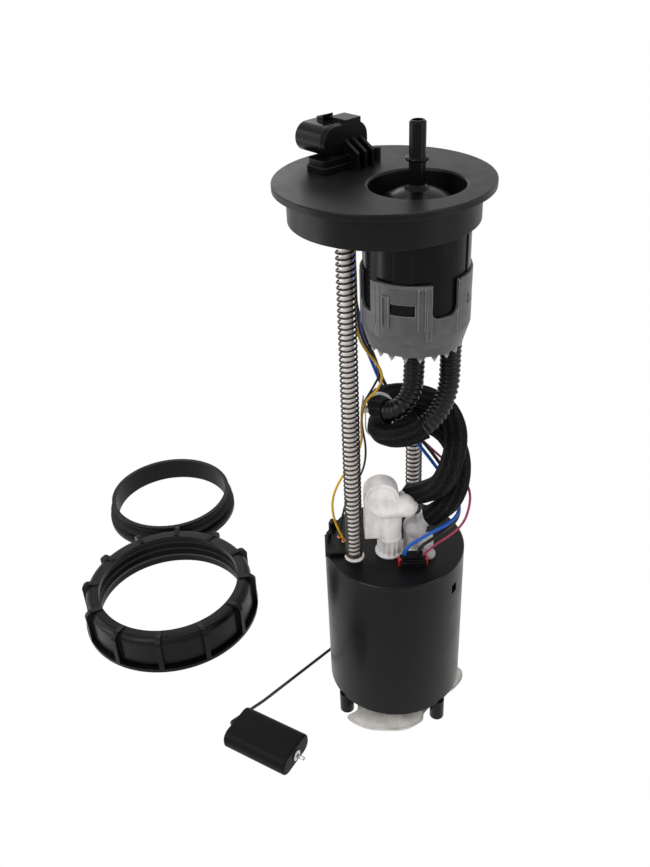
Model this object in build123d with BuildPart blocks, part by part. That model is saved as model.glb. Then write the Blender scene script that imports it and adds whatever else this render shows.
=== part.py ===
from build123d import *
from math import cos, radians, sin, tan
import os

os.makedirs("parts", exist_ok=True)

# All sizes are millimetres. The origin is the centre of the flange's seat face, with +Z up.

# Fits
slide_gap = 0.1
rod_fit = 0.08
run_gap = 0.05
seat_gap = 0.3
soft_gap = 0.3
edge_round = 0.8

# Flange, which closes the tank opening
rim_dia = 130.0
rim_thick = 4.0
collar_dia = 114.0
collar_depth = 19.0
collar_wall = 2.6
deck_thick = 3.2
well_dia = 55.4
well_wall = 2.4
well_depth = 18.0
ledge_thick = 2.0
ledge_width = 2.6
post_spot = (-1.5, 33.0)
post_dia = 5.0
post_height = 8.0

# Guide rods with their springs, clips and bushes
rod_dia = 8.0
rod_left = (-24.0, -14.7)
rod_right_angle = 62.0613
rod_right_inset = 13.647
rod_boss_dia = 13.0
rod_boss_length = 10.0
rod_grip = 9.0
rod_below_lid = 15.5
clip_dia = 13.0
clip_thick = 1.2
spring_dia = 12.3
spring_wire = 1.4
bush_flange_dia = 13.9
bush_flange_thick = 1.0
bush_body_dia = 11.0
bush_length = 7.0

# Filter, hung under the well
filter_spot = (17.5, -15.0)
outlet_dia = 9.49
outlet_bore = 6.0
outlet_tip = 38.5
tip_chamfer = 1.0
bead_dia = 13.4
bead_height = 17.8
bead_thick = 2.2
dome_top = 1.0
dome_rise = 1.6
dome_collar = 2.5
head_rim_thick = 2.5
spigot_dia = 22.4
seal_section = 1.8
canister_dia = 62.0
canister_wall = 2.2
canister_length = 68.0
canister_top_thick = 3.0
lug_proud = 2.2
lug_span = 22
guide_proud = 0.8
guide_span = 18
element_dia = 52.0
element_bore = 24.0
pleat_count = 24
pleat_depth = 4.0
cap_thick = 6.0
cap_dia = 55.2
nipple_dia = 8.4
nipple_bore = 6.0
nipple_length = 12.0
nipple_spots = ((17.5, -15.0), (40.0, -15.0))

# Basket round the filter
basket_wall = 1.9
basket_clear = 0.4
basket_rise = 46.5
basket_floor = 3.0
basket_taper = 13.0
basket_foot_dia = 59.0
tab_count = 4
tab_start = 250
tab_span = 60
tab_proud = 0.5
strip_span = 5
slot_width = 17.5
slot_depth = 21.0
slot_round = 5.0
window_width = 15.0
window_height = 7.0
window_drop = 15.0
tooth_count = 20
tooth_length = 4.5
tooth_width = 5.0
tooth_thick = 2.0

# Electrical connector on the flange
plug_spot = (-22.4, 23.4)
plug_turn = 40.0
pedestal_offset = (-2.0, 1.0)
pedestal_size = (38.0, 18.0, 8.0)
pedestal_round = 3.0
shroud_width = 33.0
shroud_height = 17.0
shroud_wall = 1.8
shroud_length = 23.0
shroud_lift = 7.5
socket_depth = 17.0
back_plate_thick = 3.5
back_plate_lip = 1.2
back_plate_taper = 12
neck_width = 22.0
neck_reach = 6.0
rib_count = 3
rib_pitch = 6.0
rib_thick = 1.8
rib_reach = 14.0
rib_foot = 10.0
latch_size = (8.0, 4.0, 8.0)
latch_taper = 15
rail_size = (12.0, 1.5, 14.0)
pin_count = 5
pin_pitch = 4.6
pin_thick = 1.2
pin_length = 11.0
harness_plug_size = (22.0, 12.0, 15.0)
harness_plug_spot = (-19.0, 17.0)

# Reservoir pot with its lid and feet
lid_drop = 266.5
pot_centre = (6.0, 0.0)
pot_dia = 102.0
pot_height = 130.5
pot_wall = 2.2
pot_floor = 2.5
pot_round = 1.5
lid_thick = 3.0
lid_lip = 4.0
lip_thick = 2.0
flat_offset = 46.0
foot_dia = 11.0
foot_length = 19.0
foot_ring = 47.0
foot_angles = (212, 310, 81)
slot_size = (6.0, 8.0)
slot_angle = 322
slot_drop = 20.0

# Foot valve and jet pump on the pot's floor
valve_spot = (-14.0, 14.0)
valve_dia = 16.0
valve_edge = 1.2
valve_rise = 3.0
valve_stem_dia = 3.0
valve_travel = 2.5
valve_hole_count = 6
jet_spot = (12.0, 30.0)
jet_dia = 12.0
jet_height = 22.0

# Pump
pump_spot = (12.0, -8.0)
pump_dia = 36.0
pump_wall = 1.2
pump_length = 64.0
pump_lift = 8.5
cover_thick = 7.0
bearing_depth = 4.0
impeller_dia = 30.0
impeller_thick = 4.0
impeller_gap = 0.4
vane_count = 24
vane_slot = (5.0, 2.0)
plate_thick = 6.0
shaft_dia = 5.0
armature_dia = 26.0
armature_length = 24.0
pole_count = 8
pole_slot = (9.0, 2.4)
magnet_thick = 2.6
magnet_length = 32.0
magnet_gap = 2.0
magnet_span = 140
commutator_dia = 16.0
commutator_thick = 4.0
commutator_gap = 0.5
brush_size = (5.0, 4.0, 8.0)
end_cap_thick = 14.0
cap_plug_depth = 8.0
outlet_nipple_dia = 9.0
outlet_nipple_length = 8.0
isolator_thick = 2.0
cradle_bore = 18.0
cradle_dia = 44.0
cradle_rise = 8.0
cradle_window = (9.0, 5.0)

# Strainer below the pot
neck_spot = pump_spot
neck_dia = 13.0
neck_bore = 8.0
frame_dia = 24.0
frame_thick = 2.0
sock_thick = 6.0
hem_thick = 1.6
bag_share = 0.9
sock_middle = (14.0, -18.0)
sock_points = ((-35, -38), (-20, -49), (0, -52), (12, -51), (24, -44), (27, -36), (38, -25), (55, -12),
               (63, 0), (58, 10), (30, 16), (0, 5), (-22, -12), (-26, -22), (-27, -31))

# Fittings on the lid
supply_spot = (1.0, -11.0)
elbow_flange_dia = 20.4
elbow_flange_thick = 1.6
elbow_stem_dia = 16.6
elbow_stem_height = 14.5
elbow_left = -16.5
elbow_width = 24.5
elbow_height = 65.5
elbow_front = -16.0
elbow_depth = 15.0
elbow_round = 2.5
barrel_dia = 14.6
barrel_level = -226.0
barrel_y = -10.0
barrel_end = 17.0
barrel_tip = 4.0
spigot_tube_dia = 9.0
spigot_tube_bore = 6.0
spigot_tube_length = 12.0
outlet_tube_dia = 12.0
barb_dia = 8.4
barb_grip = 5.5
supply_barb_reach = 8.5
return_barb_reach = 15.0
return_spot = (20.0, -5.0)
return_dia = 16.0
return_height = 26.5
return_round = 5.0
pad_spot = (26.0, -9.0)
pad_size = (9.0, 8.0, 8.0)
pad_lift = 4.5
pad_groove = 1.0
regulator_spot = (29.0, -17.6)
regulator_dia = 8.0
regulator_height = 8.5
pump_plug_spot = (17.0, -26.0)
pump_plug_size = (18.0, 10.0, 8.0)
lock_size = (3.5, 6.0, 6.5)

# Level sender with its lever and float
sender_angle = 133.0
sender_width = 30.0
sender_foot = 7.0
sender_thick = 5.0
sender_drop = 1.5
card_size = (20.0, 26.0, 1.6)
card_rise = 34.0
bracket_angle = 168.0
bracket_span = 38.0
bracket_radius = 49.5
bracket_thick = 3.0
bracket_height = 13.0
bracket_notches = ((-15.0, 7.0), (-4.0, 3.0), (8.0, 5.0))
notch_width = 5.0
terminal_spots = ((-31.0, -1.0), (-34.0, 4.0))
terminal_dia = 4.0
terminal_height = 4.0
pivot_height = 16.0
hub_dia = 13.0
hub_thick = 5.0
pin_dia = 4.0
wiper_angle = 100.0
wiper_length = 34.0
wiper_width = 4.0
wiper_thick = 0.8
arm_wire_dia = 2.4
arm_route = ((0.0, 0.0), (14.0, -21.0), (95.0, -21.5), (129.0, -17.8))
arm_radii = (6.0, 30.0, 2.0)
float_turn = -32.4
float_start = 6.0
float_length = 54.5
float_width = 34.6
float_thick = 17.0
float_round = 7.5
float_fit = 0.09
nut_dia = 8.4
nut_thick = 0.8
stub_length = 6.0

# Hoses with their sleeves, and the cable tie
hose_dia = 13.0
hose_bore = 9.2
sleeve_dia = 15.0
sleeve_bore = 13.4
sleeve_skip_count = 4
run_share = 0.45
supply_route = ((17.5, -15, -88.3), (17.5, -15, -108), (13, -21, -126), (4, -24, -140), (-5, -14, -147),
                (-5, 2, -150), (4, 13, -152), (19, 18, -153), (35, 13, -155), (45.5, 0, -160), (47, -16, -171),
                (38.5, -28, -188), (28.5, -25, -207.5), (20.5, -15.2, -220))
return_route = ((40, -15, -88.3), (40, -15, -105), (36, -23, -122), (26, -31, -137), (12, -33, -151),
                (-1, -25, -161), (-6, -10, -164), (-2, 5, -166.5), (10, 15, -168.5), (28, 15, -171.5),
                (43, 7, -177), (50, -7, -187), (48.5, -18, -205), (40.5, -18, -224), (32, -9.2, -236.5))
tie_spot = (-4.8, -7.0, -156.4)
tie_bore = (33.2, 16.8)
tie_thick = 1.2
tie_width = 4.0

# Wires
wires = {
    "yellow_wire": (1.7, (
        (-17, 13, -14.5), (-17, 9, -26), (-17.5, 3, -42), (-18.2, -1, -62), (-17, -3.5, -84), (-12, -4, -101),
        (-3, -7, -115), (-6.5, -12, -127), (-15, -12, -139), (-16.8, -10, -156), (-16, -3, -177), (-23, 4, -198),
        (-33, 4, -213), (-39, 2, -229), (-37, 0, -248), (-31, -1, -262))),
    "black_signal_wire": (1.5, (
        (-19, 15, -14.5), (-18.5, 11, -26), (-17.5, 5, -42), (-17.2, 1.8, -62), (-15.2, 0.8, -84), (-10, 0, -101),
        (0, -4, -117), (-7, -7, -130), (-16.2, -6.5, -145), (-16, -3.5, -163), (-13, -1, -183), (-15, 5, -205),
        (-24, 7, -223), (-31, 6.5, -241), (-34, 4, -262))),
    "blue_wire": (2.4, (
        (-21, 17, -14.5), (-20, 14, -26), (-18.5, 9, -42), (-18, 5, -62), (-15, 4, -84), (-9, 3, -104),
        (-2, -1, -124), (5, -2, -142), (11.5, -1.5, -160), (19, 1.5, -176), (27.6, 8, -191), (34.5, 6, -203),
        (43.5, 4, -217), (50, -3, -227), (51, -14, -231), (42.5, -25, -232), (31, -28, -236), (21, -28, -243),
        (12, -26, -251), (11, -26, -258))),
    "black_power_wire": (2.4, (
        (-23.3, 18.6, -14.5), (-21.5, 17, -26), (-20, 13, -42), (-19.5, 9.5, -62), (-15.5, 8, -84), (-8, 7, -104),
        (0, 2.5, -124), (8, 1.5, -142), (15, 1.5, -160), (23, 5, -176), (31, 12, -190), (40, 9, -206),
        (49, 5, -222), (53, -2, -234), (50, -12, -240), (40, -20, -242.5), (29, -24.5, -247),
        (21.5, -26, -251.5), (20, -26, -258))),
    "maroon_wire": (1.7, (
        (-24, 21.8, -14.5), (-23, 20, -27), (-22, 16, -43), (-20.5, 13, -63), (-15, 12.5, -85), (-6, 10.5, -105),
        (2.5, 7, -124), (11.5, 4.5, -143), (20.5, 5, -158), (30, 2, -171), (39.5, -8, -181.5), (47, -19.5, -190),
        (51.5, -28.5, -200.5), (53, -30, -213), (50, -30, -228), (42, -31, -238), (31, -30, -247),
        (24, -27.5, -257.6))),
}

# Seal ring and lock ring, which lie beside the module
seal_spot = (-205.0, 250.0)
seal_height = 22.0
seal_reach = 7.8
seal_wall = 2.4
ring_spot = (-188.0, 100.0)
ring_height = 33.0
ring_fit = 1.0
ring_hold = 3.0
ring_wall = 8.0
ring_lip_thick = 4.0
ring_lip_edge = 1.0
ring_foot_thick = 3.0
ring_groove = (2.5, 2.5)
ring_shoulder = 6.0
ring_rib_count = 12
ring_rib_width = 4.0
ring_rib_proud = 4.0
ring_rib_rise = 2.0
thread_foot = 6.0
thread_depth = 1.6
thread_turns = 3

# Levels worked out from the sizes above
deck_top = rim_thick
deck_under = rim_thick - deck_thick
ledge_top = rim_thick - well_depth + ledge_thick
ledge_under = ledge_top - ledge_thick
canister_top = ledge_under
canister_under = canister_top - canister_top_thick
canister_bottom = canister_top - canister_length
cap_bottom = canister_bottom - cap_thick
basket_bottom = cap_bottom - basket_floor
basket_top = basket_bottom + basket_rise
lid_top = -lid_drop
lid_under = lid_top - lid_thick
pot_bottom = lid_top - pot_height
floor_level = pot_bottom - foot_length
inside_bottom = pot_bottom + pot_floor
rod_top = deck_under - rod_boss_length + rod_grip
rod_bottom = lid_under - rod_below_lid
clip_level = lid_under - bush_length - seat_gap - clip_thick
spring_top = deck_under - rod_boss_length
spring_bottom = lid_top + bush_flange_thick
pump_bottom = inside_bottom + pump_lift
pump_top = pump_bottom + pump_length
pivot_level = pot_bottom + pivot_height
sender_length = pot_height - sender_drop - sender_foot


def along(angle, distance, centre=(0.0, 0.0)):
    """The point at a distance from a centre, at an angle in degrees."""
    return centre[0] + distance * cos(radians(angle)), centre[1] + distance * sin(radians(angle))


rod_right = along(rod_right_angle, pot_dia / 2 - rod_right_inset, pot_centre)


def upright(spot):
    """A vertical plane through a spot, for a profile of radius and height."""
    return Plane((spot[0], spot[1], 0), x_dir=(1, 0, 0), z_dir=(0, -1, 0))


def axis_at(spot):
    """The vertical axis through a spot."""
    return Axis((spot[0], spot[1], 0), (0, 0, 1))


def facing(angle, distance, level, centre):
    """A vertical plane that looks outwards, a distance from a centre."""
    x, y = along(angle, distance, centre)
    return Plane((x, y, level), x_dir=(-sin(radians(angle)), cos(radians(angle)), 0),
                 z_dir=(cos(radians(angle)), sin(radians(angle)), 0))


def ring_sector(inner, outer, span):
    """A sector of a ring, centred on the X axis."""
    with BuildSketch() as sector:
        with BuildLine():
            ThreePointArc(along(-span / 2, outer), (outer, 0), along(span / 2, outer))
            Line(along(span / 2, outer), along(span / 2, inner))
            ThreePointArc(along(span / 2, inner), (inner, 0), along(-span / 2, inner))
            Line(along(-span / 2, inner), along(-span / 2, outer))
        make_face()
    return sector.sketch


def pot_outline(inset):
    """The pot's round section with its flat for the level sender."""
    with BuildSketch() as outline:
        Circle(pot_dia / 2 - inset)
        with PolarLocations(flat_offset - inset, 1, start_angle=sender_angle):
            Rectangle(pot_dia, pot_dia, align=(Align.MIN, Align.CENTER), mode=Mode.SUBTRACT)
    return outline.sketch


def corner_radii(points):
    """Bend radii as large as the two runs of each corner allow."""
    radii = []
    for before, corner, after in zip(points, points[1:], points[2:]):
        run_in, run_out = corner - before, after - corner
        half_turn = radians(run_in.get_angle(run_out)) / 2
        radii.append(run_share * min(run_in.length, run_out.length) / tan(half_turn))
    return radii


def bent_tube(name, route, outer, bore=0.0, skip=0):
    """A round tube along a route; skip starts it halfway along a later run."""
    points = [Vector(*spot) for spot in route]
    radii = corner_radii(points)
    if skip:
        points = [(points[skip - 1] + points[skip]) * 0.5] + points[skip:]
        radii = radii[skip - 1:]
    with BuildPart() as tube:
        with BuildLine() as path:
            FilletPolyline(*points, radius=radii)
        with BuildSketch(Plane(points[0], z_dir=points[1] - points[0])):
            Circle(outer / 2)
            if bore:
                Circle(bore / 2, mode=Mode.SUBTRACT)
        sweep()
    length = sum(edge.length for edge in path.edges())
    expected = (outer**2 - bore**2) * 0.785398 * length
    print(f"{name}: length {length:.0f}, radii {min(radii):.1f} to {max(radii):.1f},"
          f" volume share {tube.part.volume / expected:.3f}")
    return tube.part


def barb(route, reach):
    """The stub that enters the end of a hose."""
    end = Vector(*route[-1])
    along_hose = (Vector(*route[-2]) - end).normalized()
    with BuildPart() as stub:
        with BuildSketch(Plane(end - along_hose * reach, z_dir=along_hose)):
            Circle(barb_dia / 2)
        extrude(amount=reach + barb_grip)
    return stub.part


def save(piece, name):
    piece.label = name
    export_step(piece, f"parts/{name}.step")


# Flange: a deck with a rim, a collar that fills the tank neck and a well for the filter head
with BuildPart() as flange:
    with BuildSketch(Plane.XZ):
        with BuildLine():
            Polyline((0, deck_under), (collar_dia / 2 - collar_wall, deck_under),
                     (collar_dia / 2 - collar_wall, -collar_depth), (collar_dia / 2, -collar_depth),
                     (collar_dia / 2, 0), (rim_dia / 2, 0), (rim_dia / 2, deck_top), (0, deck_top), close=True)
        make_face()
    revolve(axis=Axis.Z)
    fillet(flange.edges().filter_by(GeomType.CIRCLE).group_by(Axis.Z)[-1], edge_round)
    with BuildSketch(Plane.XY.offset(ledge_under)):
        with Locations(filter_spot):
            Circle(well_dia / 2 + well_wall)
    extrude(amount=deck_under - ledge_under)
    with BuildSketch(Plane.XY.offset(ledge_top)):
        with Locations(filter_spot):
            Circle(well_dia / 2)
    extrude(amount=well_depth, mode=Mode.SUBTRACT)
    with BuildSketch(Plane.XY.offset(ledge_under)):
        with Locations(filter_spot):
            Circle(well_dia / 2 - ledge_width)
    extrude(amount=well_depth, mode=Mode.SUBTRACT)
    with BuildSketch(Plane.XY.offset(spring_top)):
        with Locations(rod_left, rod_right):
            Circle(rod_boss_dia / 2)
    extrude(amount=rod_boss_length)
    with BuildSketch(Plane.XY.offset(spring_top)):
        with Locations(rod_left, rod_right):
            Circle(rod_dia / 2)
    extrude(amount=rod_grip, mode=Mode.SUBTRACT)
    with BuildSketch(Plane.XY.offset(deck_top)):
        with Locations(post_spot):
            Circle(post_dia / 2)
    extrude(amount=post_height)
    mouth = flange.edges().filter_by(GeomType.CIRCLE).filter_by(lambda e: abs(e.radius - well_dia / 2) < 0.01)
    fillet(mouth.sort_by(Axis.Z)[-1], 2 * edge_round)
save(flange.part, "flange")

# Filter head: a shallow dome that carries the outlet pipe with its retaining bead
head_rim_radius = well_dia / 2 - soft_gap
head_rim_top = ledge_top + head_rim_thick
pipe_radius = outlet_dia / 2
bead_shoulder = bead_dia / 2 - bead_thick / 2
dome_radius = pipe_radius + dome_collar
with BuildPart() as filter_head:
    with BuildSketch(upright(filter_spot)):
        with BuildLine():
            Polyline((outlet_bore / 2, canister_under), (spigot_dia / 2, canister_under), (spigot_dia / 2, ledge_top),
                     (head_rim_radius, ledge_top), (head_rim_radius, head_rim_top))
            ThreePointArc((head_rim_radius, head_rim_top),
                          ((head_rim_radius + dome_radius) / 2, (head_rim_top + dome_top) / 2 + dome_rise),
                          (dome_radius, dome_top))
            Polyline((dome_radius, dome_top), (pipe_radius, dome_top + dome_collar),
                     (pipe_radius, bead_height - bead_thick / 2), (bead_shoulder, bead_height - bead_thick / 2))
            ThreePointArc((bead_shoulder, bead_height - bead_thick / 2), (bead_dia / 2, bead_height),
                          (bead_shoulder, bead_height + bead_thick / 2))
            Polyline((bead_shoulder, bead_height + bead_thick / 2), (pipe_radius, bead_height + bead_thick / 2),
                     (pipe_radius, outlet_tip - tip_chamfer),
                     (pipe_radius - tip_chamfer, outlet_tip), (outlet_bore / 2, outlet_tip),
                     (outlet_bore / 2, canister_under))
        make_face()
    revolve(axis=axis_at(filter_spot))
save(filter_head.part, "filter_head")

# O-ring between the head's spigot and the canister
with BuildPart() as filter_seal:
    with BuildSketch(upright(filter_spot)):
        with Locations((spigot_dia / 2 + seal_section / 2 + slide_gap, canister_top - canister_top_thick / 2)):
            Circle(seal_section / 2)
    revolve(axis=axis_at(filter_spot))
save(filter_seal.part, "filter_seal")

# Canister: a thin cup with guide ribs and four latch lugs that poke through the basket's windows
canister_radius = canister_dia / 2
with BuildPart() as filter_canister:
    with BuildSketch(upright(filter_spot)):
        with BuildLine():
            Polyline((spigot_dia / 2 + seal_section + 2 * slide_gap, canister_top), (canister_radius, canister_top),
                     (canister_radius, canister_bottom), (canister_radius - canister_wall, canister_bottom),
                     (canister_radius - canister_wall, canister_under),
                     (spigot_dia / 2 + seal_section + 2 * slide_gap, canister_under), close=True)
        make_face()
    revolve(axis=axis_at(filter_spot))
    fillet(filter_canister.edges().filter_by(GeomType.CIRCLE).group_by(SortBy.RADIUS)[-1].sort_by(Axis.Z)[-1],
           edge_round)
    with BuildSketch(Plane.XY.offset(basket_top - window_drop + window_height / 2)):
        with Locations(filter_spot):
            with PolarLocations(0, tab_count, start_angle=tab_start):
                add(ring_sector(canister_radius - canister_wall / 2, canister_radius + lug_proud, lug_span))
    extrude(amount=2 * soft_gap - window_height)
    with BuildSketch(Plane.XY.offset(basket_top + soft_gap)):
        with Locations(filter_spot):
            with PolarLocations(0, tab_count, start_angle=tab_start):
                add(ring_sector(canister_radius - canister_wall / 2, canister_radius + guide_proud, guide_span))
    extrude(amount=-collar_depth - edge_round - basket_top)
save(filter_canister.part, "filter_canister")

# Filter element: a pleated paper sleeve
with BuildPart() as filter_element:
    with BuildSketch(Plane.XY.offset(canister_bottom)):
        with Locations(filter_spot):
            with BuildLine():
                Polyline(*[along(180 * n / pleat_count, element_dia / 2 - (n % 2) * pleat_depth, filter_spot)
                           for n in range(2 * pleat_count)], close=True)
            make_face()
            Circle(element_bore / 2, mode=Mode.SUBTRACT)
    extrude(amount=canister_under - canister_bottom - soft_gap)
save(filter_element.part, "filter_element")

# Canister bottom cap with the two hose nipples
with BuildPart() as filter_cap:
    with BuildSketch(upright(filter_spot)):
        with BuildLine():
            Polyline((0, canister_bottom), (canister_radius, canister_bottom),
                     (canister_radius, canister_bottom - cap_thick / 3), (cap_dia / 2, cap_bottom), (0, cap_bottom),
                     close=True)
        make_face()
    revolve(axis=axis_at(filter_spot))
    with BuildSketch(Plane.XY.offset(cap_bottom)):
        with Locations(*nipple_spots):
            Circle(nipple_dia / 2)
    extrude(amount=-nipple_length)
    with BuildSketch(Plane.XY.offset(canister_bottom)):
        with Locations(*nipple_spots):
            Circle(nipple_bore / 2)
    extrude(amount=-nipple_length - cap_thick, mode=Mode.SUBTRACT)
save(filter_cap.part, "filter_cap")

# Basket: a tapered grey cup whose four windowed tabs clip over the canister's lugs
basket_inner = canister_radius + basket_clear
basket_outer = basket_inner + basket_wall
tab_angles = [tab_start + 360 / tab_count * number for number in range(tab_count)]
with BuildPart() as filter_basket:
    with BuildSketch(upright(filter_spot)):
        with BuildLine():
            Polyline((0, cap_bottom), (cap_dia / 2 + basket_clear, cap_bottom),
                     (basket_inner, canister_bottom - cap_thick / 3), (basket_inner, basket_top), (basket_outer, basket_top),
                     (basket_outer, basket_bottom + basket_taper), (basket_foot_dia / 2, basket_bottom),
                     (0, basket_bottom), close=True)
        make_face()
    revolve(axis=axis_at(filter_spot))
    with BuildSketch(Plane.XY.offset(basket_bottom + basket_taper)):
        with Locations(filter_spot):
            with PolarLocations(0, tab_count, start_angle=tab_start - (tab_span - strip_span) / 2):
                add(ring_sector(basket_inner, basket_outer + tab_proud, strip_span))
            with PolarLocations(0, tab_count, start_angle=tab_start + (tab_span - strip_span) / 2):
                add(ring_sector(basket_inner, basket_outer + tab_proud, strip_span))
    extrude(amount=basket_top - basket_bottom - basket_taper)
    with BuildSketch(*[facing(angle + 180 / tab_count, 0, basket_top, filter_spot) for angle in tab_angles]):
        RectangleRounded(slot_width, 2 * slot_depth, slot_round)
    extrude(amount=2 * basket_outer, mode=Mode.SUBTRACT)
    with BuildSketch(*[facing(angle, 0, basket_top - window_drop, filter_spot) for angle in tab_angles]):
        Rectangle(window_width, window_height)
    extrude(amount=2 * basket_outer, mode=Mode.SUBTRACT)
    with BuildSketch(*[facing(360 / tooth_count * n, basket_foot_dia / 2 - 1.5 * tooth_thick, basket_bottom,
                              filter_spot) for n in range(tooth_count)]):
        Polygon((-tooth_width / 2, 0), (0, -tooth_length), (tooth_width / 2, 0), align=None)
    extrude(amount=tooth_thick)
    with BuildSketch(Plane.XY.offset(cap_bottom)):
        with Locations(*nipple_spots):
            Circle(hose_dia / 2 + soft_gap)
    extrude(amount=-basket_floor - tooth_length, mode=Mode.SUBTRACT)
save(filter_basket.part, "filter_basket")

# Electrical connector: a pedestal, a ribbed neck and a rounded shroud that opens to one side
connector_plane = Plane((*plug_spot, deck_top), x_dir=(*along(plug_turn, 1), 0), z_dir=(0, 0, 1))
mouth_plane = Plane(connector_plane.origin, x_dir=-connector_plane.x_dir, z_dir=connector_plane.y_dir)
shroud_middle = shroud_lift + shroud_height / 2
shroud_top = shroud_lift + shroud_height
with BuildPart() as electrical_connector:
    with BuildSketch(connector_plane):
        with Locations(pedestal_offset):
            RectangleRounded(pedestal_size[0], pedestal_size[1], pedestal_round)
    extrude(amount=pedestal_size[2] / 2)
    with BuildSketch(connector_plane.offset(pedestal_size[2] / 2)):
        with Locations(pedestal_offset):
            RectangleRounded(pedestal_size[0] - 2 * edge_round, pedestal_size[1] - 2 * edge_round, pedestal_round)
    extrude(amount=pedestal_size[2] / 2)
    with BuildSketch(mouth_plane):
        with Locations((0, shroud_middle)):
            SlotOverall(shroud_width + 2 * back_plate_lip, shroud_height + 2 * back_plate_lip)
    extrude(amount=-back_plate_thick, taper=back_plate_taper)
    with BuildSketch(mouth_plane):
        with Locations((0, shroud_middle)):
            SlotOverall(shroud_width, shroud_height)
    extrude(amount=shroud_length)
    with BuildSketch(mouth_plane.offset(shroud_length - 1.4 * latch_size[2])):
        with Locations((0, shroud_top)):
            Rectangle(latch_size[0], 2 * latch_size[1])
    extrude(amount=latch_size[2], taper=latch_taper)
    with BuildSketch(mouth_plane.offset(-back_plate_thick)):
        with Locations((-rail_size[0] / 2, shroud_top)):
            Rectangle(rail_size[0], 2 * (rail_size[1] + back_plate_lip))
    extrude(amount=rail_size[2])
    with BuildSketch(mouth_plane.offset(shroud_length - socket_depth)):
        with Locations((0, shroud_middle)):
            SlotOverall(shroud_width - 2 * shroud_wall, shroud_height - 2 * shroud_wall)
    extrude(amount=socket_depth, mode=Mode.SUBTRACT)
    with BuildSketch(mouth_plane.offset(-back_plate_thick)):
        with Locations((-rib_pitch, shroud_middle / 2)):
            Rectangle(neck_width, shroud_middle)
    extrude(amount=neck_reach)
    with BuildSketch(*[Plane(connector_plane.origin + connector_plane.x_dir * rib_pitch * number,
                             x_dir=-connector_plane.y_dir, z_dir=-connector_plane.x_dir)
                       for number in range(rib_count)]):
        Polygon((0, shroud_middle), (back_plate_thick, shroud_middle), (rib_reach, rib_foot), (rib_reach, 0), (0, 0),
                align=None)
    extrude(amount=rib_thick / 2, both=True)
save(electrical_connector.part, "electrical_connector")

# Connector pins, in a row inside the shroud
with BuildPart() as connector_pins:
    with BuildSketch(mouth_plane.offset(shroud_length - socket_depth)):
        with Locations((0, shroud_middle)):
            with GridLocations(pin_pitch, 1, pin_count, 1):
                Rectangle(pin_thick, pin_thick)
    extrude(amount=pin_length)
save(connector_pins.part, "connector_pins")

# Harness plug, clipped under the deck below the connector
with BuildPart() as harness_plug:
    with BuildSketch(Plane.XY.offset(deck_under)):
        with Locations(harness_plug_spot):
            RectangleRounded(harness_plug_size[0], harness_plug_size[1], 1.5)
    extrude(amount=-harness_plug_size[2])
    with BuildSketch(Plane.XY.offset(deck_under - harness_plug_size[2] / 2)):
        with Locations((harness_plug_spot[0], harness_plug_spot[1] + harness_plug_size[1] / 2)):
            Rectangle(harness_plug_size[0] / 3, 3)
    extrude(amount=-harness_plug_size[2] / 2)
save(harness_plug.part, "harness_plug")

# Guide rods with a retaining groove near the foot
with BuildPart() as guide_rods:
    with BuildSketch(Plane.XY.offset(rod_bottom)):
        with Locations(rod_left, rod_right):
            Circle(rod_dia / 2)
    extrude(amount=rod_top - rod_bottom)
    chamfer(guide_rods.edges().filter_by(GeomType.CIRCLE), edge_round)
    with BuildSketch(Plane.XY.offset(clip_level)):
        with Locations(rod_left, rod_right):
            Circle(rod_dia)
            Circle(rod_dia / 2 - edge_round, mode=Mode.SUBTRACT)
    extrude(amount=clip_thick, mode=Mode.SUBTRACT)
save(guide_rods.part, "guide_rods")

with BuildPart() as rod_clips:
    with BuildSketch(Plane.XY.offset(clip_level)):
        with Locations(rod_left, rod_right):
            Circle(clip_dia / 2)
            Circle(rod_dia / 2 - edge_round, mode=Mode.SUBTRACT)
            with Locations((clip_dia / 2, 0)):
                Rectangle(clip_dia, rod_dia - 3 * edge_round, mode=Mode.SUBTRACT)
    extrude(amount=clip_thick)
save(rod_clips.part, "rod_clips")

# Flanged bushes in the lid, which the rods slide through
with BuildPart() as rod_bushes:
    with BuildSketch(Plane.XY.offset(lid_top)):
        with Locations(rod_left, rod_right):
            Circle(bush_flange_dia / 2)
    extrude(amount=bush_flange_thick)
    with BuildSketch(Plane.XY.offset(lid_under - bush_length)):
        with Locations(rod_left, rod_right):
            Circle(bush_body_dia / 2)
    extrude(amount=bush_length + lid_thick)
    with BuildSketch(Plane.XY.offset(lid_under - bush_length)):
        with Locations(rod_left, rod_right):
            Circle(rod_dia / 2 + rod_fit)
    extrude(amount=bush_length + lid_thick + bush_flange_thick, mode=Mode.SUBTRACT)
save(rod_bushes.part, "rod_bushes")

# Springs, as the sleeve that each coil fills
for name, spot in (("spring_left", rod_left), ("spring_right", rod_right)):
    with BuildPart() as spring:
        with BuildSketch(Plane.XY.offset(spring_bottom)):
            with Locations(spot):
                Circle(spring_dia / 2)
                Circle(spring_dia / 2 - spring_wire, mode=Mode.SUBTRACT)
        extrude(amount=spring_top - spring_bottom - soft_gap)
    save(spring.part, name)

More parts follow.
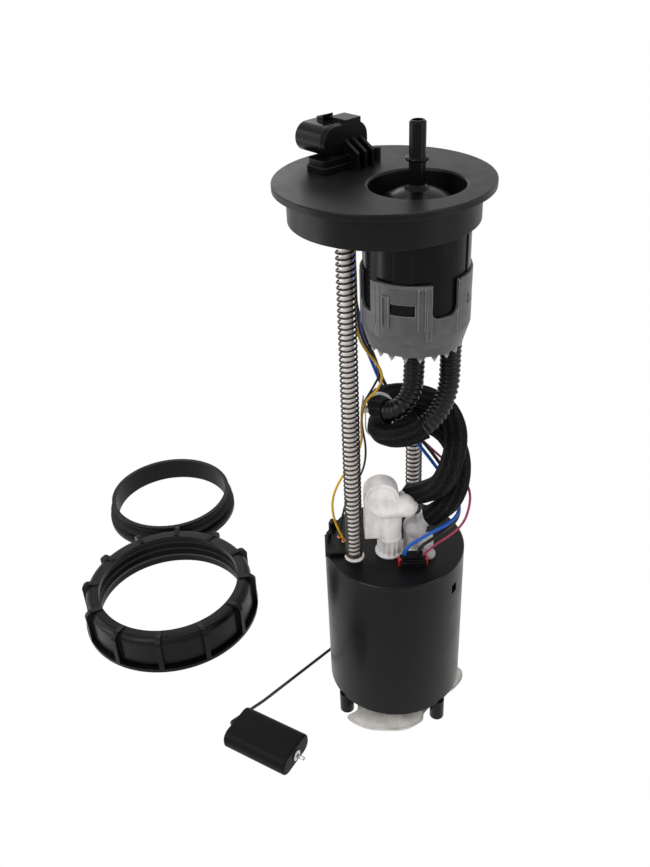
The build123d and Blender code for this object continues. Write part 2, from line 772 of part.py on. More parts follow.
# Reservoir shell: a pot with a flat for the sender, a catch slot and holes for the valve and strainer
with BuildPart() as reservoir_shell:
    with BuildSketch(Plane.XY.offset(pot_bottom)):
        with Locations(pot_centre):
            add(pot_outline(0))
    extrude(amount=pot_height - lid_thick)
    fillet(reservoir_shell.faces().sort_by(Axis.Z)[0].edges(), pot_round)
    with BuildSketch(Plane.XY.offset(inside_bottom)):
        with Locations(pot_centre):
            add(pot_outline(pot_wall))
    extrude(amount=pot_height, mode=Mode.SUBTRACT)
    with BuildSketch(Plane.XY.offset(pot_bottom)):
        with Locations(neck_spot):
            Circle(neck_dia / 2 + soft_gap)
        with Locations(valve_spot):
            Circle(valve_stem_dia / 2 + slide_gap)
            with PolarLocations(valve_dia / 3, valve_hole_count):
                Circle(valve_stem_dia / 2)
    extrude(amount=pot_floor, mode=Mode.SUBTRACT)
    with BuildSketch(facing(slot_angle, pot_dia / 2 - 2 * pot_wall, lid_top - slot_drop, pot_centre)):
        Rectangle(slot_size[0], slot_size[1])
    extrude(amount=3 * pot_wall, mode=Mode.SUBTRACT)
save(reservoir_shell.part, "reservoir_shell")

# Lid: a plate with a locating lip, bored for the bushes and the supply line
with BuildPart() as reservoir_lid:
    with BuildSketch(Plane.XY.offset(lid_under)):
        with Locations(pot_centre):
            add(pot_outline(0))
    extrude(amount=lid_thick)
    chamfer(reservoir_lid.faces().sort_by(Axis.Z)[-1].edges(), edge_round)
    with BuildSketch(Plane.XY.offset(lid_under)):
        with Locations(pot_centre):
            add(pot_outline(pot_wall + slide_gap))
            add(pot_outline(pot_wall + slide_gap + lip_thick), mode=Mode.SUBTRACT)
    extrude(amount=-lid_lip)
    with BuildSketch(Plane.XY.offset(lid_under)):
        with Locations(rod_left, rod_right):
            Circle(bush_body_dia / 2)
        with Locations(supply_spot):
            Circle(spigot_tube_dia / 2 + slide_gap)
    extrude(amount=lid_thick, mode=Mode.SUBTRACT)
save(reservoir_lid.part, "reservoir_lid")

with BuildPart() as reservoir_feet:
    with BuildSketch(Plane.XY.offset(floor_level)):
        with Locations(*[along(angle, foot_ring, pot_centre) for angle in foot_angles]):
            Circle(foot_dia / 2)
    extrude(amount=foot_length)
    fillet(reservoir_feet.faces().group_by(Axis.Z)[0].edges(), edge_round)
save(reservoir_feet.part, "reservoir_feet")

# Foot valve: an umbrella disc over a ring of holes in the pot's floor
with BuildPart() as foot_valve:
    with BuildSketch(upright(valve_spot)):
        with BuildLine():
            Polyline((0, inside_bottom + slide_gap), (valve_dia / 2, inside_bottom + slide_gap),
                     (valve_dia / 2, inside_bottom + slide_gap + valve_edge), (0, inside_bottom + valve_rise),
                     close=True)
        make_face()
    revolve(axis=axis_at(valve_spot))
    with BuildSketch(Plane.XY.offset(inside_bottom + valve_edge)):
        with Locations(valve_spot):
            Circle(valve_stem_dia / 2)
    extrude(amount=-pot_floor - valve_edge - valve_travel - slide_gap)
    with BuildSketch(Plane.XY.offset(pot_bottom - valve_travel - slide_gap)):
        with Locations(valve_spot):
            Circle(valve_stem_dia)
    extrude(amount=-valve_edge, taper=20)
save(foot_valve.part, "foot_valve")

# Strainer: a felt bag with a welded hem, held by a plate with a neck into the pump's inlet
with BuildPart() as strainer_sock:
    for shrink, low, high in ((1 - bag_share, 0, sock_thick),
                              (0, (sock_thick - hem_thick) / 2, (sock_thick + hem_thick) / 2)):
        with BuildSketch(Plane.XY.offset(floor_level + low)):
            with BuildLine():
                Spline(*[(x + (sock_middle[0] - x) * shrink, y + (sock_middle[1] - y) * shrink)
                         for x, y in sock_points], periodic=True)
            make_face()
        extrude(amount=high - low)
save(strainer_sock.part, "strainer_sock")

with BuildPart() as strainer_frame:
    with BuildSketch(Plane.XY.offset(floor_level + sock_thick)):
        with Locations(neck_spot):
            Circle(frame_dia / 2)
    extrude(amount=frame_thick)
    with BuildSketch(Plane.XY.offset(floor_level + sock_thick)):
        with Locations(neck_spot):
            Circle(neck_dia / 2)
    extrude(amount=pump_bottom + cover_thick / 2 - floor_level - sock_thick)
    with BuildSketch(Plane.XY.offset(floor_level + sock_thick)):
        with Locations(neck_spot):
            Circle(neck_bore / 2)
    extrude(amount=pump_length, mode=Mode.SUBTRACT)
save(strainer_frame.part, "strainer_frame")

# Pump: the can holds the inlet cover, impeller, body plate, magnets, rotor, brushes and end cap
can_inner = pump_dia / 2 - pump_wall
plate_under = pump_bottom + cover_thick
impeller_bottom = plate_under + impeller_gap
plate_floor = impeller_bottom + impeller_thick + impeller_gap
plate_top = plate_floor + plate_thick
armature_bottom = plate_top + magnet_gap + (magnet_length - armature_length) / 2
commutator_bottom = armature_bottom + armature_length + commutator_gap
brush_bottom = commutator_bottom + commutator_thick + slide_gap
cap_under = pump_top - cap_plug_depth
shaft_top = cap_under + bearing_depth - slide_gap
with BuildPart() as pump_can:
    with BuildSketch(Plane.XY.offset(pump_bottom)):
        with Locations(pump_spot):
            Circle(pump_dia / 2)
            Circle(can_inner, mode=Mode.SUBTRACT)
    extrude(amount=pump_length)
    chamfer(pump_can.edges().filter_by(GeomType.CIRCLE).group_by(SortBy.RADIUS)[-1], pump_wall / 2)
save(pump_can.part, "pump_can")

with BuildPart() as pump_inlet_cover:
    with BuildSketch(Plane.XY.offset(pump_bottom)):
        with Locations(pump_spot):
            Circle(can_inner)
    extrude(amount=cover_thick)
    with BuildSketch(Plane.XY.offset(plate_under)):
        with Locations(pump_spot):
            Circle(shaft_dia / 2 + run_gap)
    extrude(amount=-bearing_depth, mode=Mode.SUBTRACT)
    with BuildSketch(Plane.XY.offset(pump_bottom)):
        with Locations(neck_spot):
            Circle(neck_dia / 2 + run_gap)
    extrude(amount=cover_thick / 2, mode=Mode.SUBTRACT)
    with BuildSketch(Plane.XY.offset(pump_bottom)):
        with Locations(neck_spot):
            Circle(neck_bore / 2)
    extrude(amount=cover_thick, mode=Mode.SUBTRACT)
save(pump_inlet_cover.part, "pump_inlet_cover")

with BuildPart() as pump_body_plate:
    with BuildSketch(upright(pump_spot)):
        with BuildLine():
            Polyline((shaft_dia / 2 + run_gap, plate_floor), (impeller_dia / 2 + impeller_gap, plate_floor),
                     (impeller_dia / 2 + impeller_gap, plate_under), (can_inner, plate_under),
                     (can_inner, plate_top), (shaft_dia / 2 + run_gap, plate_top), close=True)
        make_face()
    revolve(axis=axis_at(pump_spot))
save(pump_body_plate.part, "pump_body_plate")

with BuildPart() as pump_impeller:
    with BuildSketch(Plane.XY.offset(impeller_bottom)):
        with Locations(pump_spot):
            Circle(impeller_dia / 2)
            Circle(shaft_dia / 2, mode=Mode.SUBTRACT)
            with PolarLocations(impeller_dia / 2, vane_count):
                Rectangle(vane_slot[0], vane_slot[1], mode=Mode.SUBTRACT)
    extrude(amount=impeller_thick)
save(pump_impeller.part, "pump_impeller")

with BuildPart() as pump_shaft:
    with BuildSketch(Plane.XY.offset(plate_under - bearing_depth + slide_gap)):
        with Locations(pump_spot):
            Circle(shaft_dia / 2)
    extrude(amount=shaft_top - plate_under + bearing_depth - slide_gap)
save(pump_shaft.part, "pump_shaft")

with BuildPart() as pump_armature:
    with BuildSketch(Plane.XY.offset(armature_bottom)):
        with Locations(pump_spot):
            Circle(armature_dia / 2)
            Circle(shaft_dia / 2, mode=Mode.SUBTRACT)
            with PolarLocations(armature_dia / 2, pole_count):
                Rectangle(pole_slot[0], pole_slot[1], mode=Mode.SUBTRACT)
    extrude(amount=armature_length)
save(pump_armature.part, "pump_armature")

with BuildPart() as pump_commutator:
    with BuildSketch(Plane.XY.offset(commutator_bottom)):
        with Locations(pump_spot):
            Circle(commutator_dia / 2)
            Circle(shaft_dia / 2, mode=Mode.SUBTRACT)
            with PolarLocations(commutator_dia / 2, pole_count):
                Rectangle(commutator_dia / 4, edge_round, mode=Mode.SUBTRACT)
    extrude(amount=commutator_thick)
save(pump_commutator.part, "pump_commutator")

with BuildPart() as pump_magnets:
    with BuildSketch(Plane.XY.offset(plate_top + magnet_gap)):
        with Locations(pump_spot):
            with PolarLocations(0, 2, start_angle=90):
                add(ring_sector(can_inner - magnet_thick, can_inner, magnet_span))
    extrude(amount=magnet_length)
save(pump_magnets.part, "pump_magnets")

with BuildPart() as pump_brushes:
    with BuildSketch(Plane.XY.offset(brush_bottom)):
        with Locations(pump_spot):
            with PolarLocations(commutator_dia / 3, 2, start_angle=90):
                Rectangle(brush_size[0], brush_size[1])
    extrude(amount=brush_size[2])
save(pump_brushes.part, "pump_brushes")

with BuildPart() as pump_end_cap:
    with BuildSketch(upright(pump_spot)):
        with BuildLine():
            Polyline((0, cap_under), (can_inner, cap_under), (can_inner, pump_top), (pump_dia / 2, pump_top),
                     (pump_dia / 2, pump_top + end_cap_thick / 2), (pump_dia / 2 - 2, pump_top + end_cap_thick),
                     (0, pump_top + end_cap_thick), close=True)
        make_face()
    revolve(axis=axis_at(pump_spot))
    with BuildSketch(Plane.XY.offset(pump_top + end_cap_thick)):
        with Locations(supply_spot):
            Circle(outlet_nipple_dia / 2)
    extrude(amount=outlet_nipple_length)
    with BuildSketch(Plane.XY.offset(cap_under)):
        with Locations(supply_spot):
            Circle(outlet_nipple_dia / 3)
    extrude(amount=end_cap_thick * 3, mode=Mode.SUBTRACT)
    with BuildSketch(Plane.XY.offset(cap_under)):
        with Locations(pump_spot):
            Circle(shaft_dia / 2 + run_gap)
    extrude(amount=bearing_depth, mode=Mode.SUBTRACT)
    with BuildSketch(Plane.XY.offset(cap_under)):
        with Locations(pump_spot):
            with PolarLocations(commutator_dia / 3, 2, start_angle=90):
                Rectangle(brush_size[0] + 2 * slide_gap, brush_size[1] + 2 * slide_gap)
    extrude(amount=brush_bottom + brush_size[2] - cap_under, mode=Mode.SUBTRACT)
save(pump_end_cap.part, "pump_end_cap")

# Pump mounting: a rubber washer on the cradle's ledge, inside a ring with three windows
with BuildPart() as pump_isolator:
    with BuildSketch(Plane.XY.offset(pump_bottom - isolator_thick)):
        with Locations(pump_spot):
            Circle(pump_dia / 2)
            Circle(cradle_bore / 2, mode=Mode.SUBTRACT)
    extrude(amount=isolator_thick)
save(pump_isolator.part, "pump_isolator")

with BuildPart() as pump_cradle:
    with BuildSketch(upright(pump_spot)):
        with BuildLine():
            Polyline((cradle_bore / 2, inside_bottom), (cradle_dia / 2, inside_bottom),
                     (cradle_dia / 2, pump_bottom + cradle_rise), (pump_dia / 2 + soft_gap, pump_bottom + cradle_rise),
                     (pump_dia / 2 + soft_gap, pump_bottom - isolator_thick),
                     (cradle_bore / 2, pump_bottom - isolator_thick), close=True)
        make_face()
    revolve(axis=axis_at(pump_spot))
    for angle in (30, 150, 270):
        with BuildSketch(facing(angle, 0, inside_bottom, pump_spot)):
            Rectangle(cradle_window[0], 2 * cradle_window[1])
        extrude(amount=pump_dia, mode=Mode.SUBTRACT)
save(pump_cradle.part, "pump_cradle")

# Outlet tube from the pump's nipple up to the supply spigot
with BuildPart() as outlet_tube:
    with BuildSketch(Plane.XY.offset(pump_top + end_cap_thick + seat_gap)):
        with Locations(supply_spot):
            Circle(outlet_tube_dia / 2)
            Circle(outlet_nipple_dia / 2, mode=Mode.SUBTRACT)
    extrude(amount=lid_under - pump_top - end_cap_thick - 2 * seat_gap)
save(outlet_tube.part, "outlet_tube")

# Jet pump: a small nozzle block on the pot's floor
with BuildPart() as jet_pump:
    with BuildSketch(upright(jet_spot)):
        with BuildLine():
            Polyline((0, inside_bottom), (jet_dia / 2, inside_bottom), (jet_dia / 2, inside_bottom + jet_height / 2),
                     (jet_dia / 3, inside_bottom + jet_height * 0.6), (jet_dia / 3, inside_bottom + jet_height),
                     (0, inside_bottom + jet_height), close=True)
        make_face()
    revolve(axis=axis_at(jet_spot))
    with BuildSketch(facing(0, 0, inside_bottom + jet_height / 4, jet_spot)):
        Circle(jet_dia / 4)
    extrude(amount=jet_dia)
    with BuildSketch(facing(0, 0, inside_bottom + jet_height / 4, jet_spot)):
        Circle(jet_dia / 8)
    extrude(amount=jet_dia, mode=Mode.SUBTRACT)
save(jet_pump.part, "jet_pump")

# Supply elbow: a stem through the lid, a humped body and a barrel with a barb for the hose
elbow_top = lid_top + elbow_height
elbow_body_bottom = lid_top + elbow_stem_height
spigot_bottom = lid_under - spigot_tube_length
with BuildPart() as supply_elbow:
    with BuildSketch(Plane.XZ.offset(-elbow_front)):
        with BuildLine():
            Polyline((elbow_left, elbow_body_bottom), (elbow_left, elbow_top - elbow_width / 2))
            ThreePointArc((elbow_left, elbow_top - elbow_width / 2), (elbow_left + elbow_width / 2, elbow_top),
                          (elbow_left + elbow_width, elbow_top - elbow_width / 2))
            Polyline((elbow_left + elbow_width, elbow_top - elbow_width / 2),
                     (elbow_left + elbow_width, barrel_level - barrel_dia / 2),
                     (supply_spot[0] + elbow_stem_dia / 2, elbow_body_bottom), (elbow_left, elbow_body_bottom))
        make_face()
    extrude(amount=-elbow_depth)
    fillet(supply_elbow.faces().filter_by(Axis.Y).edges(), elbow_round)
    with BuildSketch(Plane.XY.offset(lid_top)):
        with Locations(supply_spot):
            Circle(elbow_flange_dia / 2)
    extrude(amount=elbow_flange_thick)
    with BuildSketch(Plane.XY.offset(lid_top)):
        with Locations(supply_spot):
            Circle(elbow_stem_dia / 2)
    extrude(amount=elbow_body_bottom - lid_top)
    with BuildSketch(Plane.YZ.offset(elbow_left + elbow_width / 2)):
        with Locations((barrel_y, barrel_level)):
            Circle(barrel_dia / 2)
    extrude(amount=barrel_end - elbow_left - elbow_width / 2 - barrel_tip)
    with BuildSketch(Plane.YZ.offset(barrel_end - barrel_tip)):
        with Locations((barrel_y, barrel_level)):
            Circle(barrel_dia / 2 - edge_round)
    extrude(amount=barrel_tip)
    fillet(supply_elbow.faces().sort_by(Axis.X)[-1].edges(), edge_round)
    add(barb(supply_route, supply_barb_reach))
    with BuildSketch(Plane.XY.offset(spigot_bottom)):
        with Locations(supply_spot):
            Circle(spigot_tube_dia / 2)
    extrude(amount=lid_top - spigot_bottom)
    with BuildSketch(Plane.XY.offset(spigot_bottom)):
        with Locations(supply_spot):
            Circle(spigot_tube_bore / 2)
    extrude(amount=elbow_body_bottom - spigot_bottom, mode=Mode.SUBTRACT)
save(supply_elbow.part, "supply_elbow")

# Return elbow: a domed block with a ribbed pad and a barb
with BuildPart() as return_elbow:
    with BuildSketch(Plane.XY.offset(lid_top)):
        with Locations(return_spot):
            Circle(return_dia / 2)
    extrude(amount=return_height)
    fillet(return_elbow.faces().sort_by(Axis.Z)[-1].edges(), return_round)
    with BuildSketch(Plane.XY.offset(lid_top + pad_lift)):
        with Locations(pad_spot):
            Rectangle(pad_size[0], pad_size[1])
    extrude(amount=pad_size[2])
    with BuildSketch(Plane.XY.offset(lid_top + pad_lift)):
        with Locations((pad_spot[0] + pad_size[0] / 2, pad_spot[1] - pad_size[1] / 2)):
            with GridLocations(3 * pad_groove, 1, 2, 1):
                Rectangle(pad_groove, 2 * pad_groove)
    extrude(amount=pad_size[2], mode=Mode.SUBTRACT)
    add(barb(return_route, return_barb_reach))
save(return_elbow.part, "return_elbow")

# Pressure regulator: a stepped can on the lid
with BuildPart() as pressure_regulator:
    with BuildSketch(upright(regulator_spot)):
        with BuildLine():
            Polyline((0, lid_top), (regulator_dia / 2, lid_top), (regulator_dia / 2, lid_top + regulator_height / 2),
                     (regulator_dia / 2 - edge_round, lid_top + regulator_height / 2),
                     (regulator_dia / 2 - edge_round, lid_top + regulator_height), (0, lid_top + regulator_height),
                     close=True)
        make_face()
    revolve(axis=axis_at(regulator_spot))
    fillet(pressure_regulator.faces().sort_by(Axis.Z)[-1].edges(), edge_round)
save(pressure_regulator.part, "pressure_regulator")

# Pump plug with its red locks
with BuildPart() as pump_plug:
    with BuildSketch(Plane.XY.offset(lid_top)):
        with Locations(pump_plug_spot):
            RectangleRounded(pump_plug_size[0], pump_plug_size[1], edge_round)
    extrude(amount=pump_plug_size[2] * 0.6)
    with BuildSketch(Plane.XY.offset(lid_top)):
        with Locations((pump_plug_spot[0], pump_plug_spot[1] + pump_plug_size[1] / 8)):
            RectangleRounded(pump_plug_size[0] * 0.8, pump_plug_size[1] * 0.7, edge_round)
    extrude(amount=pump_plug_size[2])
save(pump_plug.part, "pump_plug")

with BuildPart() as plug_locks:
    with BuildSketch(Plane.XY.offset(lid_top)):
        with Locations(pump_plug_spot):
            with GridLocations(pump_plug_size[0] + lock_size[0], 1, 2, 1):
                Rectangle(lock_size[0], lock_size[1])
    extrude(amount=lock_size[2])
save(plug_locks.part, "plug_locks")

# Level sender: a housing on the pot's flat, with the resistor card in its pocket
sender_middle = lid_top - sender_drop - sender_length / 2
with BuildPart() as sender_housing:
    with BuildSketch(facing(sender_angle, flat_offset, sender_middle, pot_centre)):
        RectangleRounded(sender_width, sender_length, sender_width / 2 - 1)
    extrude(amount=sender_thick)
    with BuildSketch(facing(sender_angle, flat_offset + sender_thick, pivot_level + card_rise, pot_centre)):
        Rectangle(card_size[0] + 2 * slide_gap, card_size[1] + 2 * slide_gap)
    extrude(amount=-card_size[2], mode=Mode.SUBTRACT)
    with BuildSketch(facing(sender_angle, flat_offset, pivot_level, pot_centre)):
        Circle(pin_dia / 2 + run_gap)
    extrude(amount=sender_thick, mode=Mode.SUBTRACT)
save(sender_housing.part, "sender_housing")

with BuildPart() as sender_card:
    with BuildSketch(facing(sender_angle, flat_offset + sender_thick, pivot_level + card_rise, pot_centre)):
        Rectangle(card_size[0], card_size[1])
    extrude(amount=-card_size[2])
save(sender_card.part, "sender_card")

# Sender bracket: a curved guard on the lid's edge that carries the wire terminals
with BuildPart() as sender_bracket:
    with BuildSketch(Plane.XY.offset(lid_top)):
        with Locations(pot_centre):
            with PolarLocations(0, 1, start_angle=bracket_angle):
                add(ring_sector(bracket_radius - bracket_thick, bracket_radius, bracket_span))
    extrude(amount=bracket_height)
    for turn, drop in bracket_notches:
        with BuildSketch(facing(bracket_angle + turn, 0, lid_top + bracket_height, pot_centre)):
            Rectangle(notch_width, 2 * drop)
        extrude(amount=pot_dia, mode=Mode.SUBTRACT)
save(sender_bracket.part, "sender_bracket")

with BuildPart() as sender_terminals:
    with BuildSketch(Plane.XY.offset(lid_top)):
        with Locations(*terminal_spots):
            Circle(terminal_dia / 2)
    extrude(amount=terminal_height)
    fillet(sender_terminals.faces().group_by(Axis.Z)[-1].edges(), edge_round)
save(sender_terminals.part, "sender_terminals")

# Float lever: a hub on a pin, a wiper, and a bent wire that carries the float
hub_base = flat_offset + sender_thick + soft_gap
arm_plane = hub_base + hub_thick / 2


def arm_point(reach, level):
    """A point in the plane that the float arm swings in."""
    spot = facing(sender_angle, arm_plane, level, pot_centre)
    return spot.origin + spot.x_dir * reach


float_axis = Vector(*along(float_turn, 1), 0)
arm_points = [arm_point(reach, pivot_level + lift) for reach, lift in arm_route]
wire_corner = arm_points[-1]
wire_end = wire_corner + float_axis * (float_start + float_length + soft_gap + nut_thick + stub_length)
hub_run = arm_points[1] - arm_points[0]
with BuildPart() as arm_hub:
    with BuildSketch(facing(sender_angle, hub_base, pivot_level, pot_centre)):
        Circle(hub_dia / 2)
    extrude(amount=hub_thick)
    with BuildSketch(facing(sender_angle, hub_base, pivot_level, pot_centre)):
        Circle(pin_dia / 2)
    extrude(amount=-sender_thick)
    with BuildSketch(facing(sender_angle, hub_base, pivot_level, pot_centre)):
        with PolarLocations(0, 1, start_angle=wiper_angle):
            Rectangle(wiper_length, wiper_width, align=(Align.MIN, Align.CENTER))
    extrude(amount=wiper_thick)
    with BuildSketch(Plane(arm_points[0], z_dir=hub_run)):
        Circle(arm_wire_dia / 2)
    extrude(amount=hub_dia, mode=Mode.SUBTRACT)
save(arm_hub.part, "arm_hub")

with BuildPart() as float_arm:
    with BuildLine():
        FilletPolyline(*arm_points, wire_end, radius=arm_radii)
    with BuildSketch(Plane(arm_points[0], z_dir=hub_run)):
        Circle(arm_wire_dia / 2)
    sweep()
save(float_arm.part, "float_arm")

with BuildPart() as float_body:
    with BuildSketch(Plane(wire_corner + float_axis * float_start, x_dir=(-float_axis.Y, float_axis.X, 0),
                           z_dir=float_axis)):
        RectangleRounded(float_width, float_thick, float_round)
        Circle(arm_wire_dia / 2 + float_fit, mode=Mode.SUBTRACT)
    extrude(amount=float_length)
    ends = float_body.faces().sort_by(Axis(wire_corner, float_axis))
    fillet(ends[0].outer_wire().edges() + ends[-1].outer_wire().edges(), 2 * edge_round)
save(float_body.part, "float")

with BuildPart() as push_nut:
    with BuildSketch(Plane(wire_corner + float_axis * (float_start + float_length + soft_gap), z_dir=float_axis)):
        Circle(nut_dia / 2)
        Circle(arm_wire_dia / 2, mode=Mode.SUBTRACT)
    extrude(amount=nut_thick)
save(push_nut.part, "push_nut")

# Hoses with their braided sleeves, from the filter's nipples to the two elbows
save(bent_tube("supply_hose", supply_route, hose_dia, hose_bore), "supply_hose")
save(bent_tube("return_hose", return_route, hose_dia, hose_bore), "return_hose")
save(bent_tube("supply_sleeve", supply_route, sleeve_dia, sleeve_bore, skip=sleeve_skip_count), "supply_sleeve")
save(bent_tube("return_sleeve", return_route, sleeve_dia, sleeve_bore, skip=sleeve_skip_count), "return_sleeve")

# Wires from the harness plug down to the sender terminals and the pump plug
for name, (wire_dia, route) in wires.items():
    save(bent_tube(name, route, wire_dia), name)

# Cable tie round the two sleeves
with BuildPart() as cable_tie:
    with BuildSketch(Plane(tie_spot, x_dir=(0, 0, 1), z_dir=(0, 1, 0))):
        SlotOverall(tie_bore[0] + 2 * tie_thick, tie_bore[1] + 2 * tie_thick)
        SlotOverall(*tie_bore, mode=Mode.SUBTRACT)
    extrude(amount=tie_width / 2, both=True)
save(cable_tie.part, "cable_tie")

# Seal ring: a lipped rubber band that sits between the tank neck and the collar
seal_inner = collar_dia / 2 - soft_gap
seal_outer = seal_inner + seal_reach
with BuildPart() as seal_ring:
    with BuildSketch(upright(seal_spot)):
        with BuildLine():
            Polyline((seal_inner, floor_level), (seal_outer, floor_level),
                     (seal_outer, floor_level + seal_height * 0.2),
                     (seal_inner + seal_wall, floor_level + seal_height * 0.3),
                     (seal_inner + seal_wall, floor_level + seal_height * 0.42),
                     (seal_outer - seal_wall / 2, floor_level + seal_height * 0.5),
                     (seal_inner + seal_wall, floor_level + seal_height * 0.58),
                     (seal_inner + seal_wall, floor_level + seal_height * 0.85),
                     (seal_inner + 1.6 * seal_wall, floor_level + seal_height),
                     (seal_inner, floor_level + seal_height), close=True)
        make_face()
    revolve(axis=axis_at(seal_spot))
save(seal_ring.part, "seal_ring")

# Lock ring: a threaded ring with an inward lip that holds the flange down, and ribs that wrap over its shoulder
ring_inner = rim_dia / 2 + ring_fit
ring_outer = ring_inner + ring_wall
ring_lip = rim_dia / 2 - ring_hold
ring_top = floor_level + ring_height
foot_top = floor_level + ring_foot_thick
groove_radius = ring_outer - ring_groove[0]
groove_top = foot_top + ring_groove[1]
shoulder_inset = ring_shoulder * (1 - cos(radians(45)))
rib_outer = ring_outer + ring_rib_proud
rib_top = ring_top + ring_rib_rise
with BuildPart() as lock_ring:
    with BuildSketch(upright(ring_spot)):
        with BuildLine():
            pitch = (ring_height - ring_lip_thick - thread_foot) / thread_turns
            thread = [(ring_inner - (n % 2) * thread_depth, floor_level + thread_foot + n * pitch / 2)
                      for n in range(2 * thread_turns)]
            Polyline(*thread, (ring_inner, ring_top - ring_lip_thick), (ring_lip, ring_top - ring_lip_thick),
                     (ring_lip, ring_top), (ring_outer - ring_shoulder, ring_top))
            ThreePointArc((ring_outer - ring_shoulder, ring_top),
                          (ring_outer - shoulder_inset, ring_top - shoulder_inset),
                          (ring_outer, ring_top - ring_shoulder))
            Polyline((ring_outer, ring_top - ring_shoulder), (ring_outer, groove_top), (groove_radius, groove_top),
                     (groove_radius, foot_top), (rib_outer, foot_top), (rib_outer, floor_level),
                     (ring_inner, floor_level), thread[0])
        make_face()
    revolve(axis=axis_at(ring_spot))
    rib_planes = [Plane((ring_spot[0], ring_spot[1], 0), x_dir=(*along(turn, 1), 0), z_dir=(*along(turn - 90, 1), 0))
                  for turn in range(0, 360, 360 // ring_rib_count)]
    with BuildSketch(*rib_planes):
        with BuildLine():
            Polyline((ring_inner + thread_depth, floor_level), (rib_outer, floor_level),
                     (rib_outer, ring_top - ring_shoulder))
            ThreePointArc((rib_outer, ring_top - ring_shoulder),
                          (rib_outer - shoulder_inset, rib_top - shoulder_inset), (rib_outer - ring_shoulder, rib_top))
            Polyline((rib_outer - ring_shoulder, rib_top), (ring_lip + ring_lip_edge, ring_top + ring_rib_rise / 2),
                     (ring_lip + ring_lip_edge, ring_top - ring_lip_thick / 2),
                     (ring_inner + thread_depth, ring_top - ring_lip_thick / 2),
                     (ring_inner + thread_depth, floor_level))
        make_face()
    extrude(amount=ring_rib_width / 2, both=True)
save(lock_ring.part, "lock_ring")
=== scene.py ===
import math

import bmesh
import bpy
import numpy as np
from mathutils import Matrix, Vector, noise


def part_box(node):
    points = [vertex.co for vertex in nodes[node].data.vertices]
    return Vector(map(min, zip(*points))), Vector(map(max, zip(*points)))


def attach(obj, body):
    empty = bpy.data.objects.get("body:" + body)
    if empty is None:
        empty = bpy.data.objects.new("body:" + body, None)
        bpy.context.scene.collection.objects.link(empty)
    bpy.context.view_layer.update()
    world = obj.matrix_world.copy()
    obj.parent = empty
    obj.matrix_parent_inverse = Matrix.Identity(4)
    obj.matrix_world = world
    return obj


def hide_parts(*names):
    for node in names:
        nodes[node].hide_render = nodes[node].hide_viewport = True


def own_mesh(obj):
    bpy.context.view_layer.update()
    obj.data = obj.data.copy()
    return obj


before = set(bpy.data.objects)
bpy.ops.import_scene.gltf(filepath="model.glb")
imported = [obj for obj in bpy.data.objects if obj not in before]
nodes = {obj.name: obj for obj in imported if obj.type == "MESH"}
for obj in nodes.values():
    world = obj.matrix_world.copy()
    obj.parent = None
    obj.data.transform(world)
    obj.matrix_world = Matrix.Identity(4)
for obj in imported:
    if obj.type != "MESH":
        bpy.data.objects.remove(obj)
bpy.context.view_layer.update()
mm = 0.001
# heights in mm from the flange's deck
toothRoot = -91.5
toothTip = -94.8
lidLevel = -266.5
floorLevel = -416.0


# one class wraps a socket so that shader maths reads as maths
class Signal:
    def __init__(self, recipe, socket):
        self.recipe = recipe
        self.socket = socket

    def pair(self, operation, first, second):
        return self.recipe.node("Math", {"operation": operation}, {0: first, 1: second})

    def __add__(self, other):
        return self.pair("ADD", self, other)

    __radd__ = __add__

    def __sub__(self, other):
        return self.pair("SUBTRACT", self, other)

    def __rsub__(self, other):
        return self.pair("SUBTRACT", other, self)

    def __mul__(self, other):
        return self.pair("MULTIPLY", self, other)

    __rmul__ = __mul__

    def __truediv__(self, other):
        return self.pair("DIVIDE", self, other)

    def __rtruediv__(self, other):
        return self.pair("DIVIDE", other, self)

    def __pow__(self, other):
        return self.pair("POWER", self, other)

    def between(self, low, high):
        return self.recipe.node("MapRange", {"interpolation_type": "SMOOTHSTEP"},
                                {"Value": self, "From Min": low, "From Max": high, "To Min": 0.0, "To Max": 1.0})


